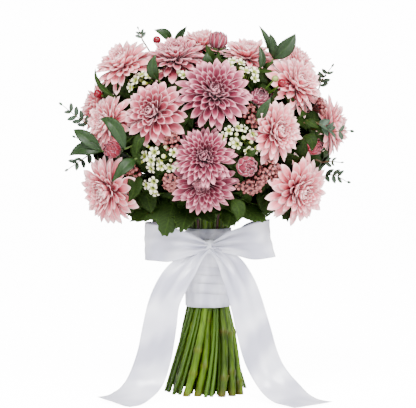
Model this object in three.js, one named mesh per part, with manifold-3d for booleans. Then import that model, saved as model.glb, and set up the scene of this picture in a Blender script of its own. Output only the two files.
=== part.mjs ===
// A hand-tied bouquet of pink dahlias that stands unheld on its cut ends.
// Every dahlia is a bloom on its own stem. The stems are squeezed together at the waist by a tie, flare
// to a foot below it and fan out to a low dome of flowers above it. Waxflower, berries, buds, ruscus,
// eucalyptus and lobed leaves fill the gaps, and a satin ribbon wraps the waist and ends in a bow.
// Millimetres, +Z up, origin at the middle of the foot, the front of the bouquet towards -Y.
import * as THREE from "three";
import { mergeVertices } from "three/addons/utils/BufferGeometryUtils.js";
import Module from "manifold-3d";

const wasm = await Module();
wasm.setup();

// Driving dimensions
const WAIST_Z = 150;
const WRAP_BOTTOM_Z = 95;
const WRAP_TOP_Z = 181;
const WAIST_RADIUS = 23.6;
const FOOT_SPREAD = 2.1;
const FOOT_TWIST_DEG = 26;
const STEM_RADIUS = 3.6;
const STEM_SIDES = 5;
const SPRIG_RADIUS = 1.4;
const SPRIG_SIDES = 3;
const CLEARANCE = 0.35;
const STEM_PRESS = 1.3;
const CALYX_DEPTH = 6;
const CALYX_LENGTH = 8;
const CALYX_FLARE = 2;
const HEAD_CENTRE = new THREE.Vector3(3, 0, 275);

const deg = THREE.MathUtils.degToRad;
const point = (p) => new THREE.Vector3(p[0], p[1], p[2]);
const UP = new THREE.Vector3(0, 0, 1);

// A repeatable random draw
function draws(seed) {
  let state = seed >>> 0;
  return () => {
    state = (state + 0x6d2b79f5) >>> 0;
    let t = state;
    t = Math.imul(t ^ (t >>> 15), t | 1);
    t ^= t + Math.imul(t ^ (t >>> 7), t | 61);
    return ((t ^ (t >>> 14)) >>> 0) / 4294967296;
  };
}

// Materials
const finish = (color, roughness) => new THREE.MeshStandardMaterial({ color, roughness, metalness: 0 });
const PINK = finish(0xe0a0ab, 0.6);
const PALE_PINK = finish(0xe9bcc0, 0.6);
const ROSE = finish(0xc77d90, 0.6);
const BUD_PINK = finish(0xa9536a, 0.55);
const STEM_GREEN = finish(0x6f8f2f, 0.5);
const LEAF_GREEN = finish(0x41602f, 0.45);
const DARK_LEAF = finish(0x2f4a1c, 0.5);
const SAGE = finish(0x55695a, 0.55);
const WAX_WHITE = finish(0xeff0dd, 0.5);
const WAX_PINK = finish(0xc98f92, 0.5);
const BERRY_RED = finish(0xa81f38, 0.25);
const SATIN = finish(0xe6e6ec, 0.35);
const TAPE = finish(0x5f6f3c, 0.7);

// Solids

// A closed three.js geometry as a solid, with its shared vertices merged
function solid(geometry) {
  const bare = geometry.index ? geometry.toNonIndexed() : geometry.clone();
  bare.deleteAttribute("normal");
  bare.deleteAttribute("uv");
  const merged = mergeVertices(bare, 1e-3);
  const faces = [];
  for (let i = 0; i < merged.index.count; i += 3) {
    const [a, b, c] = merged.index.array.slice(i, i + 3);
    if (a !== b && b !== c && c !== a) faces.push(a, b, c);
  }
  return new wasm.Manifold(
    new wasm.Mesh({
      numProp: 3,
      vertProperties: new Float32Array(merged.attributes.position.array),
      triVerts: new Uint32Array(faces),
    }),
  );
}

// A solid from points and triangles
function facets(points, triangles) {
  const geometry = new THREE.BufferGeometry().setFromPoints(points);
  geometry.setIndex(triangles.flat());
  return solid(geometry);
}

// Several solids joined into one body. Only loose scraps may be lost
const SCRAP_VOLUME = 75;
function fuse(parts) {
  const bodies = wasm.Manifold.union(parts).decompose();
  bodies.sort((a, b) => b.volume() - a.volume());
  if (bodies.length > 1 && bodies[1].volume() > SCRAP_VOLUME) throw new Error("parts don't meet");
  return bodies[0];
}

const bouquet = new THREE.Group();

function addNode(name, body, material) {
  const mesh = body.getMesh();
  const geometry = new THREE.BufferGeometry();
  geometry.setAttribute("position", new THREE.BufferAttribute(new Float32Array(mesh.vertProperties), 3));
  geometry.setIndex(new THREE.BufferAttribute(mesh.triVerts, 1));
  geometry.computeVertexNormals();
  const made = new THREE.Mesh(geometry, material);
  made.name = name;
  bouquet.add(made);
}

// A route whose sections stand at the given points
class Route extends THREE.CatmullRomCurve3 {
  getUtoTmapping(u) {
    return u;
  }
}

// A round stem or twig along points. Its last section may flare
function tube(points, radius, sides, flare = 1) {
  const section = new THREE.Shape();
  for (let i = 0; i < sides; i += 1) {
    const angle = (i / sides) * 2 * Math.PI;
    const [x, y] = [radius * Math.cos(angle), radius * Math.sin(angle)];
    if (i) section.lineTo(x, y);
    else section.moveTo(x, y);
  }
  const path = new Route(points, false, "centripetal");
  const geometry = new THREE.ExtrudeGeometry(section, {
    steps: points.length - 1,
    bevelEnabled: false,
    extrudePath: path,
  });
  const end = points[points.length - 1];
  const corners = geometry.attributes.position;
  const corner = new THREE.Vector3();
  for (let i = 0; i < corners.count; i += 1) {
    corner.fromBufferAttribute(corners, i);
    if (corner.distanceTo(end) > radius * 1.01) continue;
    corner.sub(end).multiplyScalar(flare).add(end);
    corners.setXYZ(i, corner.x, corner.y, corner.z);
  }
  return solid(geometry);
}

// A turned profile, [radius, height] from the base up, set at a place along an axis
function turned(profile, segments, place, axis) {
  const lathe = new THREE.LatheGeometry(
    profile.map(([r, h]) => new THREE.Vector2(r, h)),
    segments,
  );
  const turn = new THREE.Quaternion().setFromUnitVectors(new THREE.Vector3(0, 1, 0), axis);
  lathe.applyQuaternion(turn);
  lathe.translate(place.x, place.y, place.z);
  return solid(lathe);
}

// A direction from its azimuth, 0 at the front and positive to the right, and its elevation
function facing(azimuth, elevation) {
  const [a, e] = [deg(azimuth), deg(elevation)];
  return new THREE.Vector3(Math.sin(a) * Math.cos(e), -Math.cos(a) * Math.cos(e), Math.sin(e));
}

// Two directions across an axis
function across(axis) {
  const side = Math.abs(axis.z) > 0.98 ? new THREE.Vector3(1, 0, 0) : UP.clone().cross(axis).normalize();
  return [side, axis.clone().cross(side).normalize()];
}

const outward = (p) => p.clone().sub(HEAD_CENTRE).normalize();

// A direction turned from one way towards another that is square to it
const leaning = (from, to, angle) =>
  from
    .clone()
    .multiplyScalar(Math.cos(deg(angle)))
    .addScaledVector(to, Math.sin(deg(angle)));

// The dahlias: place of the middle of the bloom, radius, azimuth and elevation of its face, stem group.
// The ones that face the front have the most petals, the ones at the back the fewest
const DAHLIAS = [
  ["front_upper", [7, -98, 326], 41, 3, 18, "front", ROSE],
  ["front_left", [-56, -86, 306], 37, -24, 12, "front_left", PINK],
  ["between", [-19, -70, 293], 26, -12, 12, "front_left", ROSE],
  ["front_centre", [-4, -100, 261], 34, -2, 10, "front", ROSE],
  ["front_low", [-5, -87, 231], 38, -2, -18, "front", ROSE],
  ["front_right", [69, -78, 287], 37, 40, 4, "front_right", PINK],
  ["left", [-104, -58, 296], 33, -50, 8, "front_left", PALE_PINK],
  ["low_left", [-104, -60, 225], 40, -45, -12, "side_left", PALE_PINK],
  ["low_right", [94, -60, 225], 40, 38, -14, "front_right", PALE_PINK],
  ["right", [131, -16, 293], 36, 72, 4, "front_right", PALE_PINK],
  ["side_low_left", [-93, 15, 239], 37, -100, -30, "side_left", PALE_PINK],
  ["back_left", [-50, 87, 282], 39, -152, 0, "side_left", PINK],
  ["side_low_right", [99, 15, 239], 37, 100, -30, "back_right", PALE_PINK],
  ["back_right", [56, 87, 282], 39, 152, 0, "back_right", PINK],
  ["back_low", [3, 81, 234], 38, 180, -34, "back_right", ROSE],
  ["upper_left_centre", [-34, -50, 363], 37, -12, 57, "upper_left", PINK],
  ["upper_left", [-90, -40, 357], 36, -40, 45, "upper_left", PINK],
  ["far_left", [-120, 4, 315], 33, -80, 22, "upper_left", PALE_PINK],
  ["back_upper_left", [-68, 49, 333], 37, -128, 36, "upper_left", PINK],
  ["top", [-7, -8, 379], 34, -10, 74, "upper_right", PALE_PINK],
  ["top_right", [43, -24, 366], 35, 18, 65, "upper_right", PALE_PINK],
  ["upper_right", [93, -42, 336], 37, 42, 26, "upper_right", PALE_PINK],
  ["far_upper_right", [97, 16, 361], 31, 65, 38, "upper_right", PALE_PINK],
  ["back_upper_right", [70, 56, 328], 37, 134, 34, "upper_back", PINK],
  ["back_top", [3, 46, 358], 35, 180, 62, "upper_back", PALE_PINK],
  ["back_centre", [3, 90, 317], 36, 180, 24, "upper_back", PINK],
].map(([name, place, radius, azimuth, elevation, group, material]) => ({
  name,
  place: point(place),
  radius,
  axis: facing(azimuth, elevation),
  group,
  material,
  petals: place[1] > 40 ? 6 : place[1] < -80 ? 8 : 7,
}));

// The closed buds: place, radius, azimuth and elevation of the tip
const BUDS = [
  ["top", [11, -50, 383], 11, 5, 74, BUD_PINK],
  ["half_open", [54, -87, 323], 10, 30, 30, ROSE],
  ["round", [40, -99, 251], 12, 10, -4, BUD_PINK],
  ["left", [-100, -76, 268], 10, -30, 10, BUD_PINK],
  ["right", [112, -54, 271], 10, 30, 2, BUD_PINK],
].map(([name, place, radius, azimuth, elevation, material]) => ({
  name,
  place: point(place),
  radius,
  axis: facing(azimuth, elevation),
  material,
}));

// The waxflower: each cluster is a place, a spread and a number of florets or buds
const WHITE_CLUSTERS = {
  left: [
    [[-58, -93, 261], 10, 4],
    [[-41, -99, 255], 9, 4],
    [[-60, -80, 228], 4, 1],
  ],
  upper_left: [
    [[-79, -64, 341], 8, 3],
    [[-64, -68, 345], 9, 3],
    [[-28, -79, 347], 4, 1],
  ],
  right: [
    [[27, -102, 283], 8, 3],
    [[42, -100, 277], 9, 4],
  ],
  upper_right: [
    [[32, -68, 360], 8, 3],
    [[46, -74, 349], 8, 3],
  ],
  back: [
    [[3, 106, 276], 9, 3],
    [[100, 52, 292], 8, 3],
  ],
};
const PINK_CLUSTERS = {
  left: [
    [[-38, -99, 276], 7, 3],
    [[-39, -87, 232], 7, 3],
    [[-81, -80, 244], 7, 3],
  ],
  right: [
    [[50, -90, 232], 9, 4],
    [[66, -88, 244], 8, 3],
  ],
  upper_right: [
    [[44, -96, 304], 7, 3],
    [[123, -49, 314], 6, 3],
  ],
  back: [
    [[-36, 76, 349], 8, 3],
    [[-97, 52, 290], 8, 3],
  ],
};

// The berries: place and radius
const BERRIES = {
  left: [
    [[-118, -45, 327], 4.6],
    [[-55, -32, 385], 4.4],
    [[-46, 100, 314], 4.6],
  ],
  right: [
    [[77, -84, 337], 4.8],
    [[70, -80, 342], 3.6],
    [[52, 100, 314], 4.6],
  ],
};

// Leafy stems: each branch ends at a joint, and its leaves run from there past a middle to a tip
const RUSCUS = {
  left: [
    { joint: [-86, -97, 269], leaves: [[[-96, -103, 292], [-112, -93, 300], 15]] },
    {
      joint: [-112, -64, 266],
      leaves: [
        [[-130, -62, 281], [-143, -52, 289], 15],
        [[-131, -62, 269], [-148, -50, 261], 16],
      ],
    },
    { joint: [-76, -94, 258], leaves: [[[-86, -104, 250], [-99, -102, 235], 15]] },
    { joint: [-52, -74, 341], leaves: [[[-58, -82, 353], [-54, -82, 367], 13]] },
    {
      joint: [-38, -14, 384],
      leaves: [
        [[-46, -27, 391], [-58, -31, 396], 14],
        [[-28, -20, 392], [-23, -27, 400], 11],
      ],
    },
  ],
  right: [
    { joint: [51, -98, 299], leaves: [[[57, -103, 309], [65, -101, 322], 11]] },
    {
      joint: [70, -46, 364],
      leaves: [
        [[64, -48, 382], [54, -44, 400], 9],
        [[69, -54, 379], [65, -52, 391], 9],
        [[84, -50, 377], [93, -46, 391], 17],
      ],
    },
    { joint: [54, -70, 353], leaves: [[[57, -72, 364], [53, -66, 378], 7]] },
    { joint: [1, -66, 354], leaves: [[[-1, -72, 361], [-1, -70, 370], 12]] },
  ],
  back: [
    {
      joint: [-98, 62, 310],
      leaves: [
        [[-110, 72, 318], [-124, 76, 328], 15],
        [[-112, 66, 302], [-126, 66, 294], 14],
      ],
    },
    { joint: [102, 42, 318], leaves: [[[115, 54, 323], [128, 62, 334], 15]] },
    { joint: [-31, 68, 366], leaves: [[[-37, 75, 380], [-43, 77, 396], 13]] },
    { joint: [-20, 108, 300], leaves: [[[-28, 122, 290], [-32, 127.1, 274], 14]] },
  ],
};

// Eucalyptus twigs: joint, middle and tip of the bare twig, leaf length and number of leaf pairs
const EUCALYPTUS = {
  left: [
    { run: [[-125, -28, 291], [-140, -34, 302], [-156, -38, 315]], leaf: 10, pairs: 3 },
    { run: [[-122, -36, 266], [-136, -44, 256], [-149, -48, 247]], leaf: 10, pairs: 2 },
    { run: [[-71, -26, 386], [-72, -26, 391], [-75, -24, 397]], leaf: 7, pairs: 1 },
    { run: [[-120, 40, 268], [-134, 46, 272], [-150, 50, 280]], leaf: 10, pairs: 2 },
  ],
  right: [
    { run: [[120, -16, 332], [124, -24, 344], [133, -30, 356]], leaf: 10, pairs: 3 },
    { run: [[111, -65, 298], [121, -72, 292], [130, -67, 287], [150, -58, 288]], leaf: 11, pairs: 4 },
    { run: [[122, -26, 238], [136, -34, 240], [149, -40, 233]], leaf: 10, pairs: 2 },
    { run: [[122, -44, 254], [131, -50, 255], [141, -52, 254]], leaf: 8, pairs: 1 },
    { run: [[112, 50, 262], [128, 56, 266], [144, 60, 276]], leaf: 10, pairs: 2 },
  ],
};

// Lobed leaves hang as a collar under the head: petiole joint, direction of the middle lobe and length
const LOBED = {
  left: [
    { joint: [-24, -42, 209], tip: [-68, -80, 196], length: 62 },
    { joint: [-48, 8, 210], tip: [-104, 16, 196], length: 54 },
    { joint: [-28, 42, 209], tip: [-60, 86, 196], length: 54 },
  ],
  right: [
    { joint: [25, -42, 209], tip: [64, -78, 198], length: 56 },
    { joint: [50, 10, 210], tip: [104, 22, 196], length: 54 },
    { joint: [30, 42, 209], tip: [62, 84, 196], length: 54 },
  ],
};

// Cells: each flower keeps to its side of the plane between it and its neighbour. The room it asks for
// goes with its radius: a cluster's florets lean in a little, a bud and a leaf joint ask for a bit more
const CLUSTER_ROOM = 0.85;
const BUD_ROOM = 1;
const LEAF_ROOM = 5;
const NEIGHBOUR_GAP = 2;
const clusterSites = [...Object.values(WHITE_CLUSTERS), ...Object.values(PINK_CLUSTERS)]
  .flat()
  .map(([place, spread]) => ({ place: point(place), radius: spread * CLUSTER_ROOM }));
const budSites = BUDS.map(({ place, radius }) => ({ place, radius: radius + BUD_ROOM }));
const berrySites = Object.values(BERRIES)
  .flat()
  .map(([place, radius]) => ({ place: point(place), radius }));
const leafSites = [
  ...Object.values(RUSCUS).flatMap((branches) => branches.map(({ joint }) => joint)),
  ...Object.values(EUCALYPTUS).flatMap((twigs) => twigs.map(({ run }) => run[0])),
].map((place) => ({ place: point(place), radius: LEAF_ROOM }));
const SITES = [...DAHLIAS, ...clusterSites, ...budSites, ...berrySites, ...leafSites];

function wallsOf(site) {
  return SITES.filter((other) => other.place !== site.place)
    .map((other) => {
      const way = other.place.clone().sub(site.place);
      const distance = way.length();
      const share = (distance * site.radius) / (site.radius + other.radius);
      return { normal: way.divideScalar(distance), reach: share - CLEARANCE, distance, other };
    })
    .filter(({ distance, other }) => distance < site.radius + other.radius + NEIGHBOUR_GAP);
}

// How far a point that starts at `from` and moves along `way` stays inside the walls
function roomAlong(walls, centre, from, way, most) {
  let room = most;
  for (const { normal, reach } of walls) {
    const speed = normal.dot(way);
    if (speed > 1e-6) room = Math.min(room, (reach - normal.dot(from.clone().sub(centre))) / speed);
  }
  return room;
}

// Dahlia blooms, as shares of the bloom's radius. The layers go from the outermost to the innermost.
// Each has its least and steepest tilt in degrees, and the height and reach its petals part at
const PETAL_LAYERS = [
  { tilt: 6, steepest: 42, length: 1, width: 0.6, root: 0.24, lift: 0, notch: 0.62 },
  { tilt: 28, steepest: 58, length: 0.8, width: 0.5, root: 0.17, lift: 0.13, notch: 0.44 },
  { tilt: 54, steepest: 72, length: 0.56, width: 0.3, root: 0.1, lift: 0.26, notch: 0.26 },
];
const HEART = { root: 0.09, lift: 0.38, top: 0.54 };
const PETAL_THICKNESS = 0.04;
const PETAL_CUP = 0.03;
const WIDE_AT = 0.7;
const TILT_STEP = 6;
const TILT_GAIN = 10;
const MOST_TILT_CHANGE = 22;
const FREE_ENOUGH = 0.66;
const LEAST_LENGTH = 0.25;
const SHORT_PETAL_WIDTH = 1.3;
const PETAL_SHARE = 0.94;
const RING_SHARE = 0.9;
const RING_DROP = 1;
const SEAT_RADIUS = 6.5;

// Moves a point back inside every wall
function heldInside(walls, centre, p) {
  for (let pass = 0; pass < 3; pass += 1) {
    for (const { normal, reach } of walls) {
      const excess = normal.dot(p.clone().sub(centre)) - reach;
      if (excess > 0) p.addScaledVector(normal, -excess);
    }
  }
  return p;
}

// A petal's tilt and length: it stands up from the layer's tilt until it clears the neighbours
function fittedPetal(bloom, walls, layer, out, least) {
  const { place, radius, axis } = bloom;
  const side = axis.clone().cross(out);
  const half = (layer.width * radius) / 2;
  const root = place
    .clone()
    .addScaledVector(axis, layer.lift * radius)
    .addScaledVector(out, layer.root * radius);
  const full = (layer.length - layer.root) * radius;
  let best = { length: 0, tilt: least };
  for (let tilt = least; tilt <= Math.max(least, layer.steepest); tilt += TILT_STEP) {
    const way = leaning(out, axis, tilt);
    let length = roomAlong(walls, place, root, way, full);
    for (const hand of [-1, 1]) {
      const edge = root.clone().addScaledVector(side, hand * half);
      length = Math.min(length, roomAlong(walls, place, edge, way, full * WIDE_AT) / WIDE_AT);
    }
    if (length > best.length + 1) best = { length, tilt };
    if (length > FREE_ENOUGH * full) break;
  }
  return { root, tilt: best.tilt, length: Math.max(best.length, LEAST_LENGTH * full), full, half };
}

// One closed body: a flat seat, then the layers of petals, each half a step round from the last, then
// the heart. Between two layers runs a ring of points that the petals' undersides and tops share.
function dahliaBloom(bloom, index) {
  const { place, radius, axis, petals } = bloom;
  const walls = wallsOf(bloom);
  const [u, v] = across(axis);
  const step = (2 * Math.PI) / petals;
  const start = draws(100 + index)() * step;
  const points = [];
  const faces = [];
  const spoke = (angle) => u.clone().multiplyScalar(Math.cos(angle)).addScaledVector(v, Math.sin(angle));
  const add = (p) => points.push(heldInside(walls, place, p)) - 1;
  const addAt = (angle, r, height) =>
    add(place.clone().addScaledVector(spoke(angle), r).addScaledVector(axis, height));
  const ringAt = (first, r, height) =>
    Array.from({ length: petals }, (_, i) => addAt(first + i * step, r, height));
  const after = (i) => (i + 1) % petals;

  const seat = addAt(0, 0, -CALYX_DEPTH);
  let under = ringAt(start - step / 2, SEAT_RADIUS, -CALYX_DEPTH);
  under.forEach((a, i) => faces.push([seat, under[after(i)], a]));
  let tilts = new Array(petals).fill(-TILT_GAIN);
  PETAL_LAYERS.forEach((layer, k) => {
    const first = start + (k * step) / 2;
    const last = k === PETAL_LAYERS.length - 1;
    const next = last ? HEART : PETAL_LAYERS[k + 1];
    const fits = [];
    for (let i = 0; i < petals; i += 1) {
      const least = Math.max(layer.tilt, tilts[i] + TILT_GAIN, tilts[after(i)] + TILT_GAIN);
      fits.push(fittedPetal(bloom, walls, layer, spoke(first + i * step), least));
    }
    for (let i = 0; i < 2 * petals; i += 1) {
      const [left, own, right] = [i, i + 1, i + 2].map((n) => fits[n % petals]);
      own.tilt = Math.max(own.tilt, left.tilt - MOST_TILT_CHANGE, right.tilt - MOST_TILT_CHANGE);
    }
    tilts = fits.map(({ tilt }) => tilt);
    const over = ringAt(first, next.root * radius * RING_SHARE, next.lift * radius - RING_DROP);
    const notches = fits.map(({ tilt }, i) => {
      const lower = Math.min(tilt, fits[(i + petals - 1) % petals].tilt);
      const rise = (layer.notch - layer.root) * Math.tan(deg(lower));
      return addAt(first + (i - 0.5) * step, layer.notch * radius, (layer.lift + rise) * radius);
    });
    fits.forEach(({ root, tilt, length, full, half }, i) => {
      const out = spoke(first + i * step);
      const side = axis.clone().cross(out);
      const way = leaning(out, axis, tilt);
      const normal = leaning(axis, out, -tilt);
      const middle = root.clone().addScaledVector(way, length * WIDE_AT);
      const middleRadius = layer.root * radius + length * WIDE_AT * Math.cos(deg(tilt));
      const shortened = Math.min(1, (SHORT_PETAL_WIDTH * length) / full);
      const wide = Math.min(half, middleRadius * Math.tan(step / 2) * PETAL_SHARE) * shortened;
      const cupped = middle.clone().addScaledVector(normal, PETAL_CUP * radius);
      const rim = [notches[i]];
      if (!last) rim.push(add(cupped.clone().addScaledVector(side, -wide)));
      rim.push(add(root.clone().addScaledVector(way, length)));
      if (!last) rim.push(add(cupped.clone().addScaledVector(side, wide)));
      rim.push(notches[after(i)]);
      rim.slice(1).forEach((b, m) => faces.push([over[i], rim[m], b]));
      faces.push([over[i], notches[after(i)], over[after(i)]]);
      const bottom = add(middle.clone().addScaledVector(normal, -PETAL_THICKNESS * radius));
      const below = [under[i], ...rim, under[after(i)]];
      below.forEach((a, m) => faces.push([below[(m + 1) % below.length], a, bottom]));
    });
    under = over;
  });
  const peak = addAt(0, 0, HEART.top * radius);
  under.forEach((a, i) => faces.push([a, under[after(i)], peak]));
  return facets(points, faces);
}

// Stem slots at the waist. The tie squeezes circles together: stems of a group press into each other.
// In the first rounds each is also drawn to its own target and inwards
const PULL_ROUNDS = 540;
const REST_ROUNDS = 360;
const PULL = 0.01;
const PULL_INWARDS = 0.003;
function squeeze(units, limit) {
  const at = units.map(({ target }) => target.clone());
  for (let round = 0; round < PULL_ROUNDS + REST_ROUNDS; round += 1) {
    const pulled = round < PULL_ROUNDS;
    for (let i = 0; i < units.length; i += 1) {
      for (let j = i + 1; j < units.length; j += 1) {
        const beside = Math.abs(units[i].order - units[j].order) === 1;
        const linked = beside && units[i].group === units[j].group;
        const both = units[i].radius + units[j].radius;
        const want = linked ? both - STEM_PRESS : both + CLEARANCE;
        const way = at[j].clone().sub(at[i]);
        const distance = Math.max(way.length(), 1e-6);
        if (distance < want || linked) {
          way.multiplyScalar((want - distance) / distance / 2);
          at[i].sub(way);
          at[j].add(way);
        }
      }
    }
    units.forEach(({ radius, target }, i) => {
      if (pulled) at[i].lerp(target, PULL).multiplyScalar(1 - PULL_INWARDS);
      const most = limit - radius;
      if (at[i].length() > most) at[i].setLength(most);
    });
  }
  return at;
}

// The bundle: a slot's place at a height, straight through the wrap and flared and twisted to the foot
function inBundle(slot, z) {
  const below = Math.max(0, (WRAP_BOTTOM_Z - z) / WRAP_BOTTOM_Z);
  const spread = 1 + (FOOT_SPREAD - 1) * below;
  const turn = deg(-FOOT_TWIST_DEG) * below;
  const [c, s] = [Math.cos(turn) * spread, Math.sin(turn) * spread];
  return new THREE.Vector3(slot.x * c - slot.y * s, slot.x * s + slot.y * c, z);
}

// Everything that stands in the bundle. What ends high stands near the middle, what ends low outside
const LOWEST_RISE = -0.35;
const LEAST_SHARE = 0.12;
const OUTERMOST = 0.95 * WAIST_RADIUS;
const units = [];
function addUnit(radius, group, order, end) {
  const way = end.clone().sub(HEAD_CENTRE);
  const share = Math.min(1, Math.max(LEAST_SHARE, (1 - way.z / way.length()) / (1 - LOWEST_RISE)));
  const target = new THREE.Vector2(way.x, way.y).setLength(OUTERMOST * Math.sqrt(share));
  const unit = { radius, group, order, target };
  units.push(unit);
  return unit;
}

// The stems of one group stand side by side, in the order of their blooms round the head
const GROUPS = [...new Set(DAHLIAS.map(({ group }) => group))];
for (const group of GROUPS) {
  const members = DAHLIAS.filter((d) => d.group === group);
  const middle = new THREE.Vector3();
  members.forEach(({ place }) => middle.add(place));
  const turnFrom = ({ place }) =>
    Math.atan2(middle.x * place.y - middle.y * place.x, middle.x * place.x + middle.y * place.y);
  members.sort((a, b) => turnFrom(a) - turnFrom(b));
  members.forEach((dahlia, order) => {
    dahlia.unit = addUnit(STEM_RADIUS, group, order, dahlia.place);
  });
}

// Sprays: a slot in the bundle, and a branch to each of the spray's joints. Branches end inside what
// they carry: a bud and a berry at a share of their radius, a cluster and a floret at a depth
const BUD_SEAT = 0.7;
const BERRY_SEAT = 0.6;
const CLUSTER_DEPTH = 15;
const FLORET_DEPTH = 5;
const sprays = {};
function addSpray(name, branches) {
  const middle = new THREE.Vector3();
  branches.forEach(({ end }) => middle.add(end));
  middle.divideScalar(branches.length);
  sprays[name] = { name, branches, unit: addUnit(SPRIG_RADIUS, name, 0, middle) };
}
function clusterBranch([place, spread, count]) {
  const middle = point(place);
  const way = outward(middle);
  const depth = count > 1 ? CLUSTER_DEPTH : FLORET_DEPTH;
  return { end: middle.clone().addScaledVector(way, -depth), way, middle, spread, count };
}
for (const [name, clusters] of Object.entries(WHITE_CLUSTERS)) {
  addSpray(`white_waxflower_${name}`, clusters.map(clusterBranch));
}
for (const [name, clusters] of Object.entries(PINK_CLUSTERS)) {
  addSpray(`pink_waxflower_${name}`, clusters.map(clusterBranch));
}
for (const { name, place, radius, axis } of BUDS) {
  const end = place.clone().addScaledVector(axis, -radius * BUD_SEAT);
  addSpray(`dahlia_bud_${name}`, [{ end, way: axis }]);
}
for (const [name, berries] of Object.entries(BERRIES)) {
  const branches = berries.map(([place, radius]) => {
    const middle = point(place);
    const way = outward(middle);
    return { end: middle.clone().addScaledVector(way, -radius * BERRY_SEAT), way, middle, radius };
  });
  addSpray(`berries_${name}`, branches);
}
for (const [name, branches] of Object.entries(RUSCUS)) {
  addSpray(
    `ruscus_${name}`,
    branches.map(({ joint, leaves }) => ({ end: point(joint), way: outward(point(joint)), leaves })),
  );
}
for (const [name, twigs] of Object.entries(EUCALYPTUS)) {
  addSpray(
    `eucalyptus_${name}`,
    twigs.map((twig) => ({ end: point(twig.run[0]), way: outward(point(twig.run[0])), ...twig })),
  );
}
for (const [name, leaves] of Object.entries(LOBED)) {
  addSpray(
    `lobed_leaves_${name}`,
    leaves.map(({ joint, tip, length }) => {
      const end = point(joint);
      return { end, way: point(tip).sub(end).normalize(), length };
    }),
  );
}

const slots = squeeze(units, WAIST_RADIUS);
units.forEach((unit, i) => {
  unit.slot = slots[i];
});

// Chains of points above the wrap, with straight runs between them
const STEM_RUNS = 3;
const BRANCH_RUNS = 2;
const BEND_REACH = 0.35;
const CALYX_ROOM = 1.8;
const chains = [];
function addChain(kin, radius, points, held) {
  chains.push({ kin, radius, points, held });
  return points;
}
function bend(start, startWay, end, endWay) {
  const reach = start.distanceTo(end) * BEND_REACH;
  return new THREE.CubicBezierCurve3(
    start,
    start.clone().addScaledVector(startWay, reach),
    end.clone().addScaledVector(endWay, -reach),
    end,
  );
}
const heldEnds = (points) => [points[0], points[points.length - 1]];
for (const dahlia of DAHLIAS) {
  const { unit, place, axis, name } = dahlia;
  const end = place.clone().addScaledVector(axis, -CALYX_DEPTH - CALYX_LENGTH);
  const curve = bend(inBundle(unit.slot, WRAP_TOP_Z), UP, end, axis);
  const points = curve.getPoints(STEM_RUNS);
  dahlia.line = addChain(name, STEM_RADIUS, points, heldEnds(points));
  const calyx = [end, place.clone().addScaledVector(axis, -CALYX_DEPTH)];
  addChain(name, STEM_RADIUS * CALYX_ROOM, calyx, calyx);
}

// A spray's stem runs on into its furthest branch. The others leave it one by one, each where the
// stem already points most nearly at the branch's end
for (const spray of Object.values(sprays)) {
  const { name, unit, branches } = spray;
  const start = inBundle(unit.slot, WRAP_TOP_Z);
  branches.sort((a, b) => b.end.distanceTo(start) - a.end.distanceTo(start));
  const [main, ...others] = branches;
  const points = bend(start, UP, main.end, main.way).getPoints(STEM_RUNS);
  spray.trunk = addChain(name, SPRIG_RADIUS, points, heldEnds(points));
  const forks = points
    .slice(1, -1)
    .map((fork, i) => ({ fork, way: fork.clone().sub(points[i]).normalize() }));
  for (const branch of others) {
    const aim = ({ fork, way }) => way.dot(branch.end.clone().sub(fork).normalize());
    forks.sort((a, b) => aim(b) - aim(a));
    const { fork, way } = forks.length > 1 ? forks.shift() : forks[0];
    const line = bend(fork, way, branch.end, branch.way).getPoints(BRANCH_RUNS);
    line[0] = fork;
    branch.line = addChain(name, SPRIG_RADIUS, line, [line[BRANCH_RUNS]]);
  }
}

// What the branches carry keeps its room too, as a share of its own size
const HELD_ROOM = { cluster: 0.6, leaf: 0.35, twig: 0.6, lobed: 0.12 };
for (const { name, branches } of Object.values(sprays)) {
  for (const { end, way, middle, spread, leaves = [], run, leaf, length } of branches) {
    const keep = (radius, points) => addChain(name, radius, points, points);
    for (const [half, tip, width] of leaves) {
      keep(width * HELD_ROOM.leaf, [end, point(half), point(tip)]);
    }
    if (spread) keep(spread * HELD_ROOM.cluster, [end.clone().lerp(middle, HELD_ROOM.cluster), middle]);
    if (run) keep(leaf * HELD_ROOM.twig, run.map(point));
    if (length) keep(length * HELD_ROOM.lobed, [end, end.clone().addScaledVector(way, length)]);
  }
}

// Runs that lie too near each other push apart, the thinner one further. Held points stay
const PUSH_ROUNDS = 120;
const NEAR = 25;
const TOUCHING = 0.01;
const WEIGHT = 1;
function pushApart() {
  const runs = chains.flatMap((chain) =>
    chain.points.slice(1).map((p, i) => ({ chain, line: new THREE.Line3(chain.points[i], p) })),
  );
  const [onA, onB] = [new THREE.Vector3(), new THREE.Vector3()];
  const apart = (a, b) => Math.sqrt(a.line.distanceSqToLine3(b.line, onA, onB));
  const want = (a, b) => a.chain.radius + b.chain.radius + 2 * CLEARANCE;
  const near = [];
  runs.forEach((a, i) => {
    for (const b of runs.slice(i + 1)) {
      if (a.chain.kin !== b.chain.kin && apart(a, b) < want(a, b) + NEAR) near.push([a, b]);
    }
  });
  const nudge = ({ chain, line }, at, push) => {
    const t = line.closestPointToPointParameter(at, true);
    if (!chain.held.includes(line.start)) line.start.addScaledVector(push, 1 - t);
    if (!chain.held.includes(line.end)) line.end.addScaledVector(push, t);
  };
  for (let round = 0; round < PUSH_ROUNDS; round += 1) {
    for (const [a, b] of near) {
      const distance = apart(a, b);
      const lack = want(a, b) - distance;
      if (lack <= 0) continue;
      const push = onB.clone().sub(onA);
      if (distance < TOUCHING) push.crossVectors(a.line.delta(onA.clone()), b.line.delta(onB.clone()));
      push.setLength(lack);
      const share = (b.chain.radius + WEIGHT) / (a.chain.radius + b.chain.radius + 2 * WEIGHT);
      nudge(a, onA.clone(), push.clone().multiplyScalar(-share));
      nudge(b, onB.clone(), push.multiplyScalar(1 - share));
    }
  }
}
pushApart();

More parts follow.
